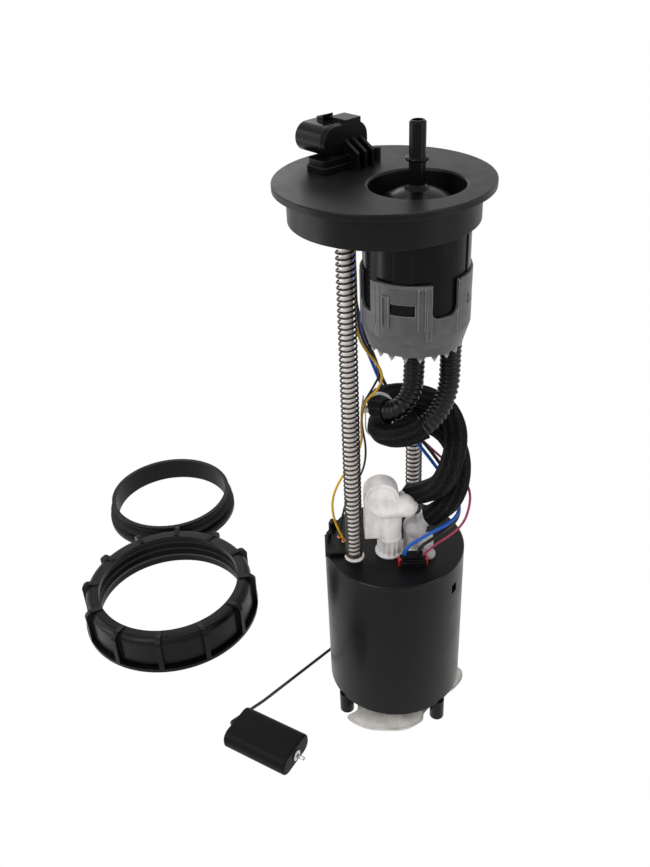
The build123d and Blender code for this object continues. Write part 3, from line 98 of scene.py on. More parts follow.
class Recipe:
    def __init__(self, name="finish", owner=None):
        self.owner = owner or bpy.data.materials.new(name)
        self.owner.use_nodes = True
        self.tree = self.owner.node_tree
        self.tree.nodes.clear()
        if owner is None:
            self.place = self.node("TexCoord", output="Object")

    def node(self, kind, settings=None, sockets=None, output=0):
        made = self.tree.nodes.new("ShaderNode" + kind)
        for key, value in (settings or {}).items():
            setattr(made, key, value)
        for key, value in (sockets or {}).items():
            if isinstance(value, Signal):
                self.tree.links.new(value.socket, made.inputs[key])
            else:
                made.inputs[key].default_value = value
        return Signal(self, made.outputs[output]) if made.outputs else None

    def blend(self, amount, first, second):
        return self.node("Mix", {"data_type": "RGBA"}, {0: amount, 6: first, 7: second}, 2)

    def grain(self, size, detail=3.0, rough=0.55, stretch=None):
        spot = self.place
        if stretch:
            spot = self.node("VectorMath", {"operation": "MULTIPLY"}, {0: self.place, 1: stretch})
        return self.node("TexNoise", {}, {"Vector": spot, "Scale": 1.0 / size, "Detail": detail, "Roughness": rough})

    def rounding(self, reach):
        return self.node("Bevel", {"samples": 4}, {"Radius": reach})

    def edges(self, reach):
        # where two faces meet, the rounded normal leaves the true one
        rounded = self.rounding(reach)
        true = self.node("NewGeometry", output="True Normal")
        facing = self.node("VectorMath", {"operation": "DOT_PRODUCT"}, {0: rounded, 1: true}, "Value")
        return rounded, (1.0 - facing).between(0.02, 0.28)

    def bump(self, height, depth, normal=None):
        sockets = {"Height": height, "Strength": 1.0, "Distance": depth}
        if normal:
            sockets["Normal"] = normal
        return self.node("Bump", {}, sockets)

    def seenRays(self):
        # 1 for rays from the camera, from gloss and through glass, 0 for those that carry light
        kinds = ("Camera", "Glossy", "Transmission")
        seen, shiny, through = (self.node("LightPath", output=f"Is {kind} Ray") for kind in kinds)
        return seen + shiny + through

    def finish(self, sockets):
        self.node("OutputMaterial", {}, {"Surface": self.node("BsdfPrincipled", {}, sockets)})
        return self.owner


def rgb(red, green, blue):
    # a colour as it looks on a screen, 0 to 255, as the shader wants it
    return tuple(((v / 255 + 0.055) / 1.055) ** 2.4 if v > 10 else v / 3295 for v in (red, green, blue)) + (1.0,)


# edge sets how far the edges pale: partly wear, partly painted highlight
def moulded(colour, pale, rough, grainSize=0.5, grainDepth=0.02, edge=0.35, gloss=0.5):
    # injection moulded plastic: fine grain, faint flow clouds, paler edges that are partly wear and partly painted
    # highlight
    recipe = Recipe()
    cloud = recipe.grain(14 * mm, 4.0, 0.6).between(0.35, 0.7)
    fine = recipe.grain(grainSize * mm, 2.0)
    rounded, wearAndHighlight = recipe.edges(0.5 * mm)
    tone = recipe.blend(cloud * 0.35, rgb(*colour), rgb(*pale))
    # paler edges: partly wear, partly a painted highlight where light catches the edge
    tone = recipe.blend(wearAndHighlight * edge, tone, rgb(*[min(255, v * 1.1 + 62) for v in pale]))
    roughness = rough + cloud * 0.06 + fine * 0.05 - wearAndHighlight * 0.05
    return recipe.finish({"Base Color": tone, "Roughness": roughness, "Specular IOR Level": gloss,
                          "Normal": recipe.bump(fine, grainDepth * mm, rounded)})


def milky(colour, shade, through, rough=0.34):
    # natural acetal: pale, a little translucent, with moulding swirls and edges paled towards white, partly wear and
    # partly painted highlight
    recipe = Recipe()
    swirl = recipe.grain(9 * mm, 5.0, 0.62, (1.0, 1.0, 0.6)).between(0.38, 0.68)
    fine = recipe.grain(0.8 * mm, 2.0)
    rounded, wearAndHighlight = recipe.edges(0.6 * mm)
    tone = recipe.blend(swirl, rgb(*colour), rgb(*shade))
    # edges paled towards white: partly wear, partly painted highlight
    tone = recipe.blend(wearAndHighlight * 0.5, tone, rgb(250, 250, 250))
    return recipe.finish({"Base Color": tone, "Roughness": rough + fine * 0.08, "Subsurface Weight": through,
                          "Subsurface Radius": (1.0, 0.95, 0.9), "Subsurface Scale": 4 * mm,
                          "Specular IOR Level": 0.45, "Normal": recipe.bump(fine + swirl * 1.5, 0.03 * mm, rounded)})


def metal(colour, tarnish, rough, stretch=(1.0, 1.0, 0.08), dark=0.3, share=1.0):
    # drawn or turned metal: streaks along the piece and small dull spots
    recipe = Recipe()
    streak = recipe.grain(0.5 * mm, 3.0, 0.6, stretch)
    spot = recipe.grain(4 * mm, 4.0, 0.65).between(0.5, 0.75)
    rounded = recipe.rounding(0.2 * mm)
    tone = recipe.blend(spot * dark + streak * 0.25, rgb(*colour), rgb(*tarnish))
    return recipe.finish({"Base Color": tone, "Metallic": share, "Roughness": rough + streak * 0.12 + spot * 0.1,
                          "Normal": recipe.bump(streak, 0.006 * mm, rounded)})


def insulation(colour, shade, rough=0.38):
    # extruded wire covering: faint streaks along it and a few scuffs
    recipe = Recipe()
    scuff = recipe.grain(3 * mm, 4.0, 0.7).between(0.5, 0.72)
    fine = recipe.grain(0.35 * mm, 2.0)
    tone = recipe.blend(scuff * 0.6, rgb(*colour), rgb(*shade))
    return recipe.finish({"Base Color": tone, "Roughness": rough + fine * 0.12, "Specular IOR Level": 0.3,
                          "Normal": recipe.bump(fine, 0.012 * mm)})


def feltMaterial():
    # needled felt: crossed fibres, painted shade in the dips between them, soft dirt, no shine
    recipe = Recipe()
    along = recipe.grain(0.5 * mm, 4.0, 0.7, (1.0, 0.25, 0.6))
    across = recipe.grain(0.5 * mm, 4.0, 0.7, (0.25, 1.0, 0.6))
    cloud = recipe.grain(11 * mm, 4.0, 0.6).between(0.35, 0.72)
    fibre = along + across
    tone = recipe.blend(cloud, rgb(226, 222, 217), rgb(202, 197, 191))
    # darker where the fibre height is low: painted shade in the dips between fibres
    tone = recipe.blend(fibre.between(0.85, 1.25), recipe.blend(0.35, tone, rgb(140, 136, 132)), tone)
    return recipe.finish({"Base Color": tone, "Roughness": 0.93, "Sheen Weight": 0.25, "Sheen Roughness": 0.5,
                          "Specular IOR Level": 0.15, "Normal": recipe.bump(fibre, 0.22 * mm)})


def braidMaterial():
    # braided yarn: an attribute that is 1 on the crest of a strand and 0 between strands; it gives the crests a
    # painted sheen and the gaps between strands painted shade
    recipe = Recipe()
    strandAndShade = recipe.node("Attribute", {"attribute_name": "strandAndShade"}, output="Fac")
    speck = recipe.grain(0.55 * mm, 3.0, 0.7).between(0.52, 0.7)
    cloud = recipe.grain(10 * mm, 3.0).between(0.35, 0.7)
    # near black between strands and paler on the crests: painted shade and painted sheen
    tone = recipe.blend(strandAndShade ** 1.5, rgb(1, 1, 2), rgb(42, 42, 43))
    tone = recipe.blend(strandAndShade * speck * (0.3 + cloud * 0.35), tone, rgb(120, 118, 116))
    return recipe.finish({"Base Color": tone, "Roughness": 0.6 - strandAndShade * 0.2, "Specular IOR Level": 0.04,
                          "Normal": recipe.bump(strandAndShade * 0.8 + speck * 0.3, 0.16 * mm)})


def basketMaterial():
    # grey glass-filled plastic whose teeth are paler at their tips and whose edges are paled, partly wear and partly
    # painted highlight
    recipe = Recipe()
    height = recipe.node("SeparateXYZ", {}, {0: recipe.place}, "Z")
    tooth = 1.0 - height.between(toothTip * mm, toothRoot * mm)
    cloud = recipe.grain(10 * mm, 4.0, 0.6).between(0.35, 0.7)
    fine = recipe.grain(0.45 * mm, 2.0)
    rounded, wearAndHighlight = recipe.edges(0.6 * mm)
    tone = recipe.blend(cloud, rgb(72, 72, 73), rgb(84, 84, 86))
    tone = recipe.blend(tooth * 0.8, tone, rgb(172, 172, 172))
    # edges paled towards light grey: partly wear, partly painted highlight
    tone = recipe.blend(wearAndHighlight * 0.9, tone, rgb(188, 188, 188))
    return recipe.finish({"Base Color": tone, "Roughness": 0.36 + fine * 0.1, "Specular IOR Level": 0.25,
                          "Normal": recipe.bump(fine, 0.03 * mm, rounded)})


finishes = {
    # the flange's edge share of 0.6 pales its rims strongly: partly wear, partly painted highlight
    "flangePlastic": moulded((12, 12, 14), (18, 18, 20), 0.33, edge=0.6, gloss=0.13),
    "potPlastic": moulded((12, 12, 14), (16, 16, 19), 0.27, 0.6, 0.012, 0.5, 0.13),
    "glossPlastic": moulded((8, 8, 9), (12, 12, 13), 0.2, 0.6, 0.01, 0.55, 0.1),
    "ringPlastic": moulded((9, 9, 10), (15, 15, 16), 0.27, 0.5, 0.015, 0.5, 0.13),
    "basketPlastic": basketMaterial(),
    "milkPlastic": milky((229, 226, 224), (207, 203, 200), 0.35),
    "smokePlastic": milky((190, 188, 187), (168, 166, 165), 0.3),
    "redPlastic": moulded((186, 24, 20), (205, 44, 36), 0.36, gloss=0.5),
    "brightSteel": metal((224, 219, 215), (158, 150, 146), 0.16),
    # spring wire painted near black as painted shade between the coils; guide rods painted near white with little
    # metal as a painted reflection
    "springSteel": metal((60, 57, 55), (22, 21, 20), 0.16, dark=0.4),
    "rodSteel": metal((255, 248, 243), (244, 229, 221), 0.34, share=0.15),
    "darkWire": metal((58, 58, 60), (30, 30, 31), 0.36),
    "zincSteel": metal((205, 206, 208), (148, 148, 150), 0.3, (1.0, 1.0, 1.0)),
    "copper": metal((196, 120, 84), (120, 70, 50), 0.3),
    "brass": metal((206, 172, 96), (140, 108, 56), 0.28),
    "magnet": moulded((48, 47, 48), (62, 60, 60), 0.7, 0.4, 0.03),
    "rubber": moulded((8, 8, 9), (15, 15, 16), 0.38, 0.35, 0.02, 0.35, 0.16),
    "hoseRubber": moulded((5, 5, 6), (10, 10, 11), 0.26, 0.4, 0.01, 0.3, 0.2),
    "floatRubber": moulded((10, 10, 11), (16, 16, 17), 0.42, 0.3, 0.035, 0.5, 0.08),
    "pleatedPaper": moulded((214, 190, 140), (228, 208, 164), 0.85, 0.3, 0.04),
    "cardPlate": moulded((70, 58, 44), (86, 72, 54), 0.5, 0.4, 0.02),
    "felt": feltMaterial(),
    "braid": braidMaterial(),
    "yellowCover": insulation((202, 160, 22), (168, 124, 18)),
    "blueCover": insulation((14, 80, 176), (8, 52, 128)),
    "blackCover": insulation((12, 12, 13), (24, 24, 25)),
    "maroonCover": insulation((142, 46, 74), (112, 30, 52)),
    "whiteTie": insulation((232, 232, 230), (210, 210, 208), 0.42),
}
for finishName, finish in finishes.items():
    finish.name = finishName

nodeFinish = {
    "flangePlastic": ["flange"],
    "potPlastic": ["reservoir_shell", "reservoir_lid", "reservoir_feet", "sender_housing", "sender_bracket",
                   "pump_plug", "harness_plug"],
    "glossPlastic": ["filter_head", "filter_canister", "filter_cap", "electrical_connector", "arm_hub"],
    "ringPlastic": ["lock_ring"],
    "basketPlastic": ["filter_basket"],
    "milkPlastic": ["supply_elbow", "outlet_tube", "pump_cradle", "foot_valve", "jet_pump", "strainer_frame"],
    "smokePlastic": ["return_elbow", "pump_isolator", "pump_end_cap", "pump_inlet_cover"],
    "redPlastic": ["plug_locks"],
    "brightSteel": ["pump_can", "pump_shaft", "rod_clips", "pressure_regulator", "pump_armature"],
    "rodSteel": ["guide_rods", "rod_bushes"],
    "darkWire": ["float_arm"],
    "copper": ["pump_commutator", "sender_terminals", "pump_brushes"],
    "brass": ["connector_pins"],
    "magnet": ["pump_magnets", "pump_impeller", "pump_body_plate"],
    "rubber": ["seal_ring", "filter_seal"],
    "floatRubber": ["float"],
    "pleatedPaper": ["filter_element"],
    "cardPlate": ["sender_card"],
}
for finishName, members in nodeFinish.items():
    for member in members:
        solid = nodes[member]
        solid.data.materials.clear()
        solid.data.materials.append(finishes[finishName])
print("materials:", len(finishes))


def placed(name, data):
    made = bpy.data.objects.new(name, data)
    bpy.context.scene.collection.objects.link(made)
    return made


def newPiece(name, corners, faces, finish, replaced=(), body="reservoir", attribute=None):
    shape = bpy.data.meshes.new(name)
    shape.from_pydata([tuple(c) for c in corners], [], faces)
    if attribute is not None:
        shape.attributes.new("strandAndShade", "FLOAT", "POINT").data.foreach_set("value", attribute)
    shape.polygons.foreach_set("use_smooth", [True] * len(shape.polygons))
    shape.materials.append(finishes[finish])
    shape.update()
    piece = placed(name, shape)
    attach(piece, body)
    if replaced:
        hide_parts(*replaced)
    return piece


def splineLine(route, pieces=16):
    # the line of a NURBS curve with the route's points as its control points
    curve = bpy.data.curves.new("routeLine", "CURVE")
    curve.dimensions = "3D"
    curve.resolution_u = pieces
    spline = curve.splines.new("NURBS")
    spline.points.add(len(route) - 1)
    for point, spot in zip(spline.points, route):
        point.co = (*spot, 1.0)
    spline.order_u = 3
    spline.use_endpoint_u = True
    holder = placed("routeLine", curve)
    bpy.context.view_layer.update()
    shape = bpy.data.meshes.new_from_object(holder)
    line = [Vector(v.co) for v in shape.vertices]
    bpy.data.objects.remove(holder)
    bpy.data.curves.remove(curve)
    bpy.data.meshes.remove(shape)
    return line


def lineLength(line):
    return sum((b - a).length for a, b in zip(line, line[1:]))


def evenLine(line, step, start=0.0):
    # the same line with its points a step apart
    total = lineLength(line)
    count = max(2, round((total - start) / step))
    wanted = [start + (total - start) * n / count for n in range(count + 1)]
    spots, travelled, index = [], 0.0, 0
    for distance in wanted:
        run = (line[index + 1] - line[index]).length
        while travelled + run < distance - 1e-9 and index < len(line) - 2:
            travelled += run
            index += 1
            run = (line[index + 1] - line[index]).length
        spots.append(line[index].lerp(line[index + 1], min(1.0, (distance - travelled) / run)))
    return spots, wanted


def carriedFrames(spots):
    # a frame at each point that turns no more than the line does
    tangents = [(spots[min(n + 1, len(spots) - 1)] - spots[max(n - 1, 0)]).normalized() for n in range(len(spots))]
    side = tangents[0].orthogonal().normalized()
    sides = [side]
    for before, after in zip(tangents, tangents[1:]):
        side = before.rotation_difference(after) @ side
        side = (side - after * side.dot(after)).normalized()
        sides.append(side)
    return [(side, tangent.cross(side)) for side, tangent in zip(sides, tangents)]


def gridFaces(rows, columns, base=0):
    # quads between rows of corners that close on themselves
    faces = []
    for row in range(rows):
        start = base + row * columns
        for k in range(columns):
            after = (k + 1) % columns
            faces.append((start + k, start + after, start + columns + after, start + columns + k))
    return faces


def tubeMesh(spots, radii, sides, capped=True):
    # radii is a number, one number for each station, or one for each corner
    frames = carriedFrames(spots)
    turns = np.arange(sides) * 2 * math.pi / sides
    centre = np.array([tuple(s) for s in spots])[:, None, :]
    across = np.array([tuple(f[0]) for f in frames])[:, None, :]
    upward = np.array([tuple(f[1]) for f in frames])[:, None, :]
    reach = np.broadcast_to(np.asarray(radii, float).reshape(-1, 1) if np.ndim(radii) == 1 else radii,
                            (len(spots), sides))[:, :, None]
    corners = centre + reach * (np.cos(turns)[None, :, None] * across + np.sin(turns)[None, :, None] * upward)
    corners = corners.reshape(-1, 3).tolist()
    faces = gridFaces(len(spots) - 1, sides)
    if capped:
        faces.append(tuple(range(sides - 1, -1, -1)))
        faces.append(tuple(range((len(spots) - 1) * sides, len(spots) * sides)))
    return corners, faces


def squashed(piece):
    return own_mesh(piece)


def metres(route):
    return [tuple(v * mm for v in spot) for spot in route]


# the photograph's place, tilt and roll
camera = {"place": (-40.9, -513.5, 162.8), "pitch": 0.57421, "roll": -0.04974, "lens": 37.49}
ahead = Vector((0, math.cos(camera["pitch"]), -math.sin(camera["pitch"])))
levelUp = Vector((0, math.sin(camera["pitch"]), math.cos(camera["pitch"])))
levelRight = Vector((1, 0, 0))
right = levelRight * math.cos(camera["roll"]) + levelUp * math.sin(camera["roll"])
upward = levelUp * math.cos(camera["roll"]) - levelRight * math.sin(camera["roll"])
eye = placed("eye", bpy.data.cameras.new("eye"))
turned = Matrix((right, upward, -ahead)).transposed().to_4x4()
eye.matrix_world = Matrix.Translation(Vector(camera["place"]) * mm) @ turned
eye.data.sensor_fit = "VERTICAL"
eye.data.sensor_height = 36.0
eye.data.lens = camera["lens"]
eye.data.clip_start = 0.01
eye.data.clip_end = 20.0
bpy.context.scene.camera = eye
print("camera set")

# hoses: corrugated tube with braided sleeves over their lower parts; plain and cuff are valley and crest radii
hoseShape = {"plain": (5.75, 6.75), "cuff": (6.3, 6.95), "cuffLength": 11.0, "pitch": 3.2, "broad": 0.6,
             "diameter": 13, "step": 0.4, "sides": 36}
# lobes and ridges wander round the sleeve as they run along it; a lobe has its count, lean, phase and share
sleeveShape = {"radius": 7.45, "diameter": 15, "strands": 30, "pitch": 1.55, "crossing": 0.45, "relief": 0.34,
               "lobe": 0.34, "lobes": ((2, 0.055, 0.0, 0.6), (3, -0.031, 1.0, 0.4)), "ridges": 9, "ridgeRise": 0.42,
               "ridgeSharp": 5, "ridgeLean": 0.02, "ridgeWave": (0.3, 0.11), "flare": (0.5, 1.6), "mouth": 0.84,
               "sides": 150}
hoses = {
    "supply": {"keep": 0.62, "route": [
        (17.5, -15, -88.3), (17.5, -15, -113), (15.5, -20, -130), (6, -25, -139), (-5, -15, -144.5), (-5, 2, -146.5),
        (4, 13, -149.5), (19, 18, -152), (35, 13, -155), (45.5, 0, -160), (47, -16, -171), (39, -28, -190.5),
        (31, -18, -209.5), (17.5, -3.5, -222)]},
    "return": {"keep": 0.663, "route": [
        (40, -15, -88.3), (40, -15, -111), (38.5, -22, -128), (29, -32, -142), (13, -34, -151), (-1, -25, -157.5),
        (-6, -10, -160.5), (-2, 5, -163), (10, 15, -166), (28, 15, -171.5), (43, 7, -177), (50, -7, -187),
        (48.5, -18, -205), (40.5, -18, -224), (32, -9.2, -236.5)]},
}


def corrugatedHose(side, hose):
    line = splineLine(metres(hose["route"]))
    spots, travel = evenLine(line, hoseShape["step"] * mm)
    radii = []
    for distance in travel:
        s = distance / mm
        wave = 0.5 - 0.5 * math.cos(2 * math.pi * s / hoseShape["pitch"])
        wave = wave ** hoseShape["broad"]  # broad crests, narrow valleys
        cuff = min(s, travel[-1] / mm - s) < hoseShape["cuffLength"]
        low, high = hoseShape["cuff" if cuff else "plain"]
        radii.append((low + (high - low) * wave) * mm)
    corners, faces = tubeMesh(spots, np.array(radii), hoseShape["sides"])
    tube = newPiece(f"{side}Hose", corners, faces, "hoseRubber", [f"{side}_hose"])
    squashed(tube)
    lineLength(line)
    [tuple(s) for s in spots[::4]] + [tuple(spots[-1])]
    return line


def braidedSleeve(side, hose):
    # starts halfway between the route's fourth and fifth points
    line = hose["line"]
    gate = (Vector(hose["route"][3]) + Vector(hose["route"][4])) * 0.5 * mm
    nearest = min(range(len(line)), key=lambda n: (line[n] - gate).length)
    start = lineLength(line[:nearest + 1])
    spots, travel = evenLine(line, hoseShape["step"] * mm, start)
    sides = sleeveShape["sides"]
    s = (np.array(travel) - travel[0])[:, None] / mm
    turn = (np.arange(sides) * 2 * math.pi / sides)[None, :]
    wound = turn * sleeveShape["strands"] / (2 * math.pi)
    u, v = s / sleeveShape["pitch"] * 0.5 + wound, s / sleeveShape["pitch"] * 0.5 - wound
    over = np.sin(math.pi * (u + v) * 0.5) * np.sin(math.pi * (u - v) * 0.5)
    crossing = sleeveShape["crossing"]
    strandAndShade = np.maximum(np.abs(np.sin(math.pi * u)) * (1 - crossing + crossing * over),
                        np.abs(np.sin(math.pi * v)) * (1 - crossing - crossing * over))
    lobes = sum(np.cos(count * turn + lean * s + phase) * share for count, lean, phase, share in sleeveShape["lobes"])
    waveHigh, waveRate = sleeveShape["ridgeWave"]
    wander = sleeveShape["ridgeLean"] * s + waveHigh * np.sin(waveRate * s)
    ridge = np.abs(np.cos(turn * sleeveShape["ridges"] / 2 + wander)) ** sleeveShape["ridgeSharp"]
    flare, fade = sleeveShape["flare"]
    ends = np.exp(-s / fade) * flare + np.exp(-(s[-1] - s) / fade) * flare
    radii = (sleeveShape["radius"] + lobes * sleeveShape["lobe"] + ridge * sleeveShape["ridgeRise"] + ends
             + (strandAndShade - 0.5) * sleeveShape["relief"]) * mm
    # lower off the ridge tops, so the colour goes darker between the sleeve's ridges: painted shade
    strandAndShade = strandAndShade * (0.5 + 0.5 * ridge)
    corners, faces = tubeMesh(spots, radii, sides, capped=False)
    # both mouths turn in to the hose
    attribute = strandAndShade.reshape(-1).tolist()
    for station, spot in ((0, spots[0]), (len(spots) - 1, spots[-1])):
        rim = len(corners)
        for k in range(sides):
            corner = Vector(corners[station * sides + k])
            corners.append(tuple(spot + (corner - spot) * sleeveShape["mouth"]))
            attribute.append(0.0)
        for k in range(sides):
            after = (k + 1) % sides
            face = (station * sides + k, station * sides + after, rim + after, rim + k)
            faces.append(face if station else face[::-1])
    sleeve = newPiece(f"{side}Sleeve", corners, faces, "braid", [f"{side}_sleeve"], attribute=attribute)
    squashed(sleeve)
    travel[-1] - travel[0]
    [tuple(p) for p in spots[::4]] + [tuple(spots[-1])]


for side, hose in hoses.items():
    hose["line"] = corrugatedHose(side, hose)
for side, hose in hoses.items():
    braidedSleeve(side, hose)
print("hoses and sleeves made")

# wires, each along its own route from the harness plug
wireShape = {"step": 1.0, "sides": 12}
wires = {
    "yellowWire": {"node": "yellow_wire", "diameter": 1.7, "colour": "yellow", "keep": 0.798, "route": [
        (-17, 13, -14.5), (-17, 9, -26), (-17.5, 3, -42), (-18.2, -1, -62), (-18.5, -2.5, -84), (-16, -1.5, -102),
        (-1, -7, -120), (-5, -12, -130), (-15, -12, -139), (-16.8, -10, -156), (-16, -3, -177), (-23, 4, -198),
        (-33, 4, -213), (-39, 2, -229), (-37, 0, -248), (-31, -1, -262)]},
    "signalWire": {"node": "black_signal_wire", "diameter": 1.5, "colour": "black", "keep": 0.798, "route": [
        (-19, 15, -14.5), (-18.5, 11, -26), (-17.5, 5, -42), (-17.2, 1.8, -62), (-17.5, 2, -84), (-14.5, 3, -102),
        (-2, -3.5, -120), (-8, -7, -131), (-16.2, -6.5, -145), (-16, -3.5, -163), (-13, -1, -183), (-15, 5, -205),
        (-24, 7, -223), (-31, 6.5, -241), (-34, 4, -262)]},
    "blueWire": {"node": "blue_wire", "diameter": 2.4, "colour": "blue", "keep": 0.795, "route": [
        (-21, 17, -14.5), (-20, 14, -26), (-18.5, 9, -42), (-18, 5, -62), (-17, 6, -84), (-13.5, 7, -104),
        (-8.5, 12, -120), (-4, 20, -136), (0.5, 28, -152), (7, 28.5, -166), (14, 22.5, -180), (25, 14, -192),
        (34.5, 6, -203), (43.5, 4, -217), (50, -3, -227), (51, -14, -231), (42.5, -25, -232), (31, -28, -236),
        (21, -28, -243), (12, -26, -251), (11, -26, -258)]},
    "powerWire": {"node": "black_power_wire", "diameter": 2.4, "colour": "black", "keep": 0.795, "route": [
        (-23.3, 18.6, -14.5), (-21.5, 17, -26), (-20, 13, -42), (-19.5, 9.5, -62), (-16.5, 10, -84),
        (-11.5, 10.5, -104), (-5.5, 15, -121), (-1.5, 23, -138), (3.5, 31, -153), (10.5, 31, -167),
        (17, 25.5, -182), (28, 17.5, -191), (40, 9, -206), (49, 5, -222), (53, -2, -234), (50, -12, -240),
        (40, -20, -242.5), (29, -24.5, -247), (21.5, -26, -251.5), (20, -26, -258)]},
    "maroonWire": {"node": "maroon_wire", "diameter": 1.7, "colour": "maroon", "keep": 0.794, "route": [
        (-24, 21.8, -14.5), (-23, 20, -27), (-22, 16, -43), (-20.5, 13, -63), (-16.3, 12.6, -85.4),
        (-11.3, 13, -105.4), (-5.3, 17.5, -122.4), (-1, 25.8, -139.5), (4, 34, -154.5), (11.5, 34, -168),
        (17.2, 28, -183.4), (28.2, 20, -192.4), (43, 12, -205), (54, -1, -208), (57, -17, -212), (55, -27, -217),
        (51, -30, -229), (42, -31, -238), (31, -30, -247), (24, -27.5, -257.6)]},
}
for wireName, wire in wires.items():
    line = splineLine(metres(wire["route"]))
    spots, travel = evenLine(line, wireShape["step"] * mm)
    corners, faces = tubeMesh(spots, wire["diameter"] / 2 * mm, wireShape["sides"])
    colour = wire["colour"]
    cover = newPiece(wireName, corners, faces, f"{colour}Cover", [wire["node"]])
    squashed(cover)
    lineLength(line)
print("wires made:", len(wires))

# compression springs with closed end coils
springShape = {"radius": 5.45, "wire": 0.7, "turns": 70, "closed": 1.6, "gap": 0.028, "bottom": -265.5, "top": -9.5,
               "steps": 22, "sides": 10, "keep": 0.805}
springSpots = {"springLeft": ("spring_left", (-24.0, -14.7)), "springRight": ("spring_right", (23.5, 33.0))}


def springLine(centre):
    steps, turns, closed, wire, radius = (springShape[k] for k in ("steps", "turns", "closed", "wire", "radius"))
    low, high = springShape["bottom"] + wire, springShape["top"] - wire
    tight = 2 * wire + springShape["gap"]
    openPitch = (high - low - 2 * closed * tight) / (turns - 2 * closed)
    level = low
    spots = []
    for n in range(turns * steps + 1):
        turn = n / steps
        angle = 2 * math.pi * turn
        spots.append(Vector((centre[0] + radius * math.cos(angle), centre[1] + radius * math.sin(angle), level)) * mm)
        level += (tight if turn < closed or turn > turns - closed else openPitch) / steps
    return spots


for springName, (node, centre) in springSpots.items():
    corners, faces = tubeMesh(springLine(centre), springShape["wire"] * mm, springShape["sides"])
    spring = newPiece(springName, corners, faces, "springSteel", [node])
    squashed(spring)
print("springs made")

# cable tie: a strap round both sleeves, its head and its cut tail
tieShape = {"centre": (-4.8, -7.0, -152.8), "bore": (33.2, 16.8), "thick": 0.9, "width": 2.8, "chamfer": 0.4,
            "head": (4.6, 4.2, 3.8), "headSpot": (-8.8, -1.0, 6.0), "headSoft": 0.7,
            "tail": (1.1, 2.4, 11.0), "tailBend": 1.5, "tailSpot": (-1.2, -1.0), "tailSoft": 0.25, "steps": 96}


def tieLoop(inset):
    # a slot outline, long along Z, in a plane that looks along Y
    high = tieShape["bore"][0] / 2 - inset
    wide = tieShape["bore"][1] / 2 - inset
    straight = high - wide
    outline = []
    for n in range(tieShape["steps"]):
        angle = 2 * math.pi * n / tieShape["steps"]
        x, z = wide * math.cos(angle), wide * math.sin(angle)
        outline.append((x, z + math.copysign(straight, math.sin(angle)) if abs(math.sin(angle)) > 1e-6 else z))
    return outline


def softCube(shape, place, soft, segments, profile):
    # a cube whose corners go where place sends them, with soft edges
    corners = bmesh.ops.create_cube(shape, size=1.0)["verts"]
    for corner in corners:
        corner.co = place(corner.co) * mm
    edges = list({edge for corner in corners for edge in corner.link_edges})
    bmesh.ops.bevel(shape, geom=edges, offset=soft * mm, segments=segments, affect="EDGES", profile=profile)


def cableTie():
    shape = bmesh.new()
    centre = Vector(tieShape["centre"])
    half = tieShape["width"] / 2
    chamfer = tieShape["chamfer"]
    inner, outer = tieLoop(0.0), tieLoop(-tieShape["thick"])
    rings = []
    for (xi, zi), (xo, zo) in zip(inner, outer):
        section = [(xi, -half), (xo, -half + chamfer), (xo, half - chamfer), (xi, half)]
        heights = [zi, zo, zo, zi]
        rings.append([shape.verts.new((centre + Vector((x, y, z))) * mm) for (x, y), z in zip(section, heights)])
    for before, after in zip(rings, rings[1:] + rings[:1]):
        for k in range(4):
            shape.faces.new((before[k], after[k], after[(k + 1) % 4], before[(k + 1) % 4]))
    # the head on the front side, at the loop's upper left, with the tail through it
    head = centre + Vector(tieShape["headSpot"])
    size = Vector(tieShape["head"])
    thick, wide, long = tieShape["tail"]
    left, drop = tieShape["tailSpot"]

    def tailPlace(spot):
        bend = tieShape["tailBend"] * (0.5 - spot.z)
        return head + Vector((spot.x * thick + left - bend, spot.y * wide, spot.z * long + long / 2 + drop))

    softCube(shape, lambda spot: head + spot * size, tieShape["headSoft"], 3, 0.6)
    softCube(shape, tailPlace, tieShape["tailSoft"], 2, 0.0)
    bmesh.ops.recalc_face_normals(shape, faces=shape.faces)
    mesh = bpy.data.meshes.new("cableTie")
    shape.to_mesh(mesh)
    shape.free()
    mesh.materials.append(finishes["whiteTie"])
    tie = placed("cableTie", mesh)
    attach(tie, "reservoir")
    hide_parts("cable_tie")
    squashed(tie)


cableTie()
print("cable tie made")

# strainer sock: a felt bag, thin at its welded hem and full in the middle
sockShape = {"middle": (14.0, -18.0), "reach": 0.985, "hem": 1.5, "weld": 2.2, "slope": 9, "least": 0.5, "crease": 0.9,
             "creaseRate": 0.11, "creaseSlope": 8, "pucker": 0.5, "puckerRate": 0.5, "puckerSpot": (3.2, 2.0),
             "rows": 26, "around": 168}
sockPoints = [(-35, -38), (-20, -49), (0, -52), (12, -51), (24, -44), (27, -36), (38, -25), (55, -12),
              (63, 0), (58, 10), (30, 16), (0, 5), (-22, -12), (-26, -22), (-27, -31)]


def sockOutline(count):
    # a closed smooth line through the outline's points
    size = len(sockPoints)
    spots = []
    for n in range(count):
        place = n / count * size
        k, t = int(place), place - int(place)
        a, b, c, d = (Vector(sockPoints[(k + m - 1) % size]) for m in range(4))
        spots.append(0.5 * ((2 * b) + (c - a) * t + (2 * a - 5 * b + 4 * c - d) * t * t
                            + (3 * b - a - 3 * c + d) * t ** 3))
    return spots


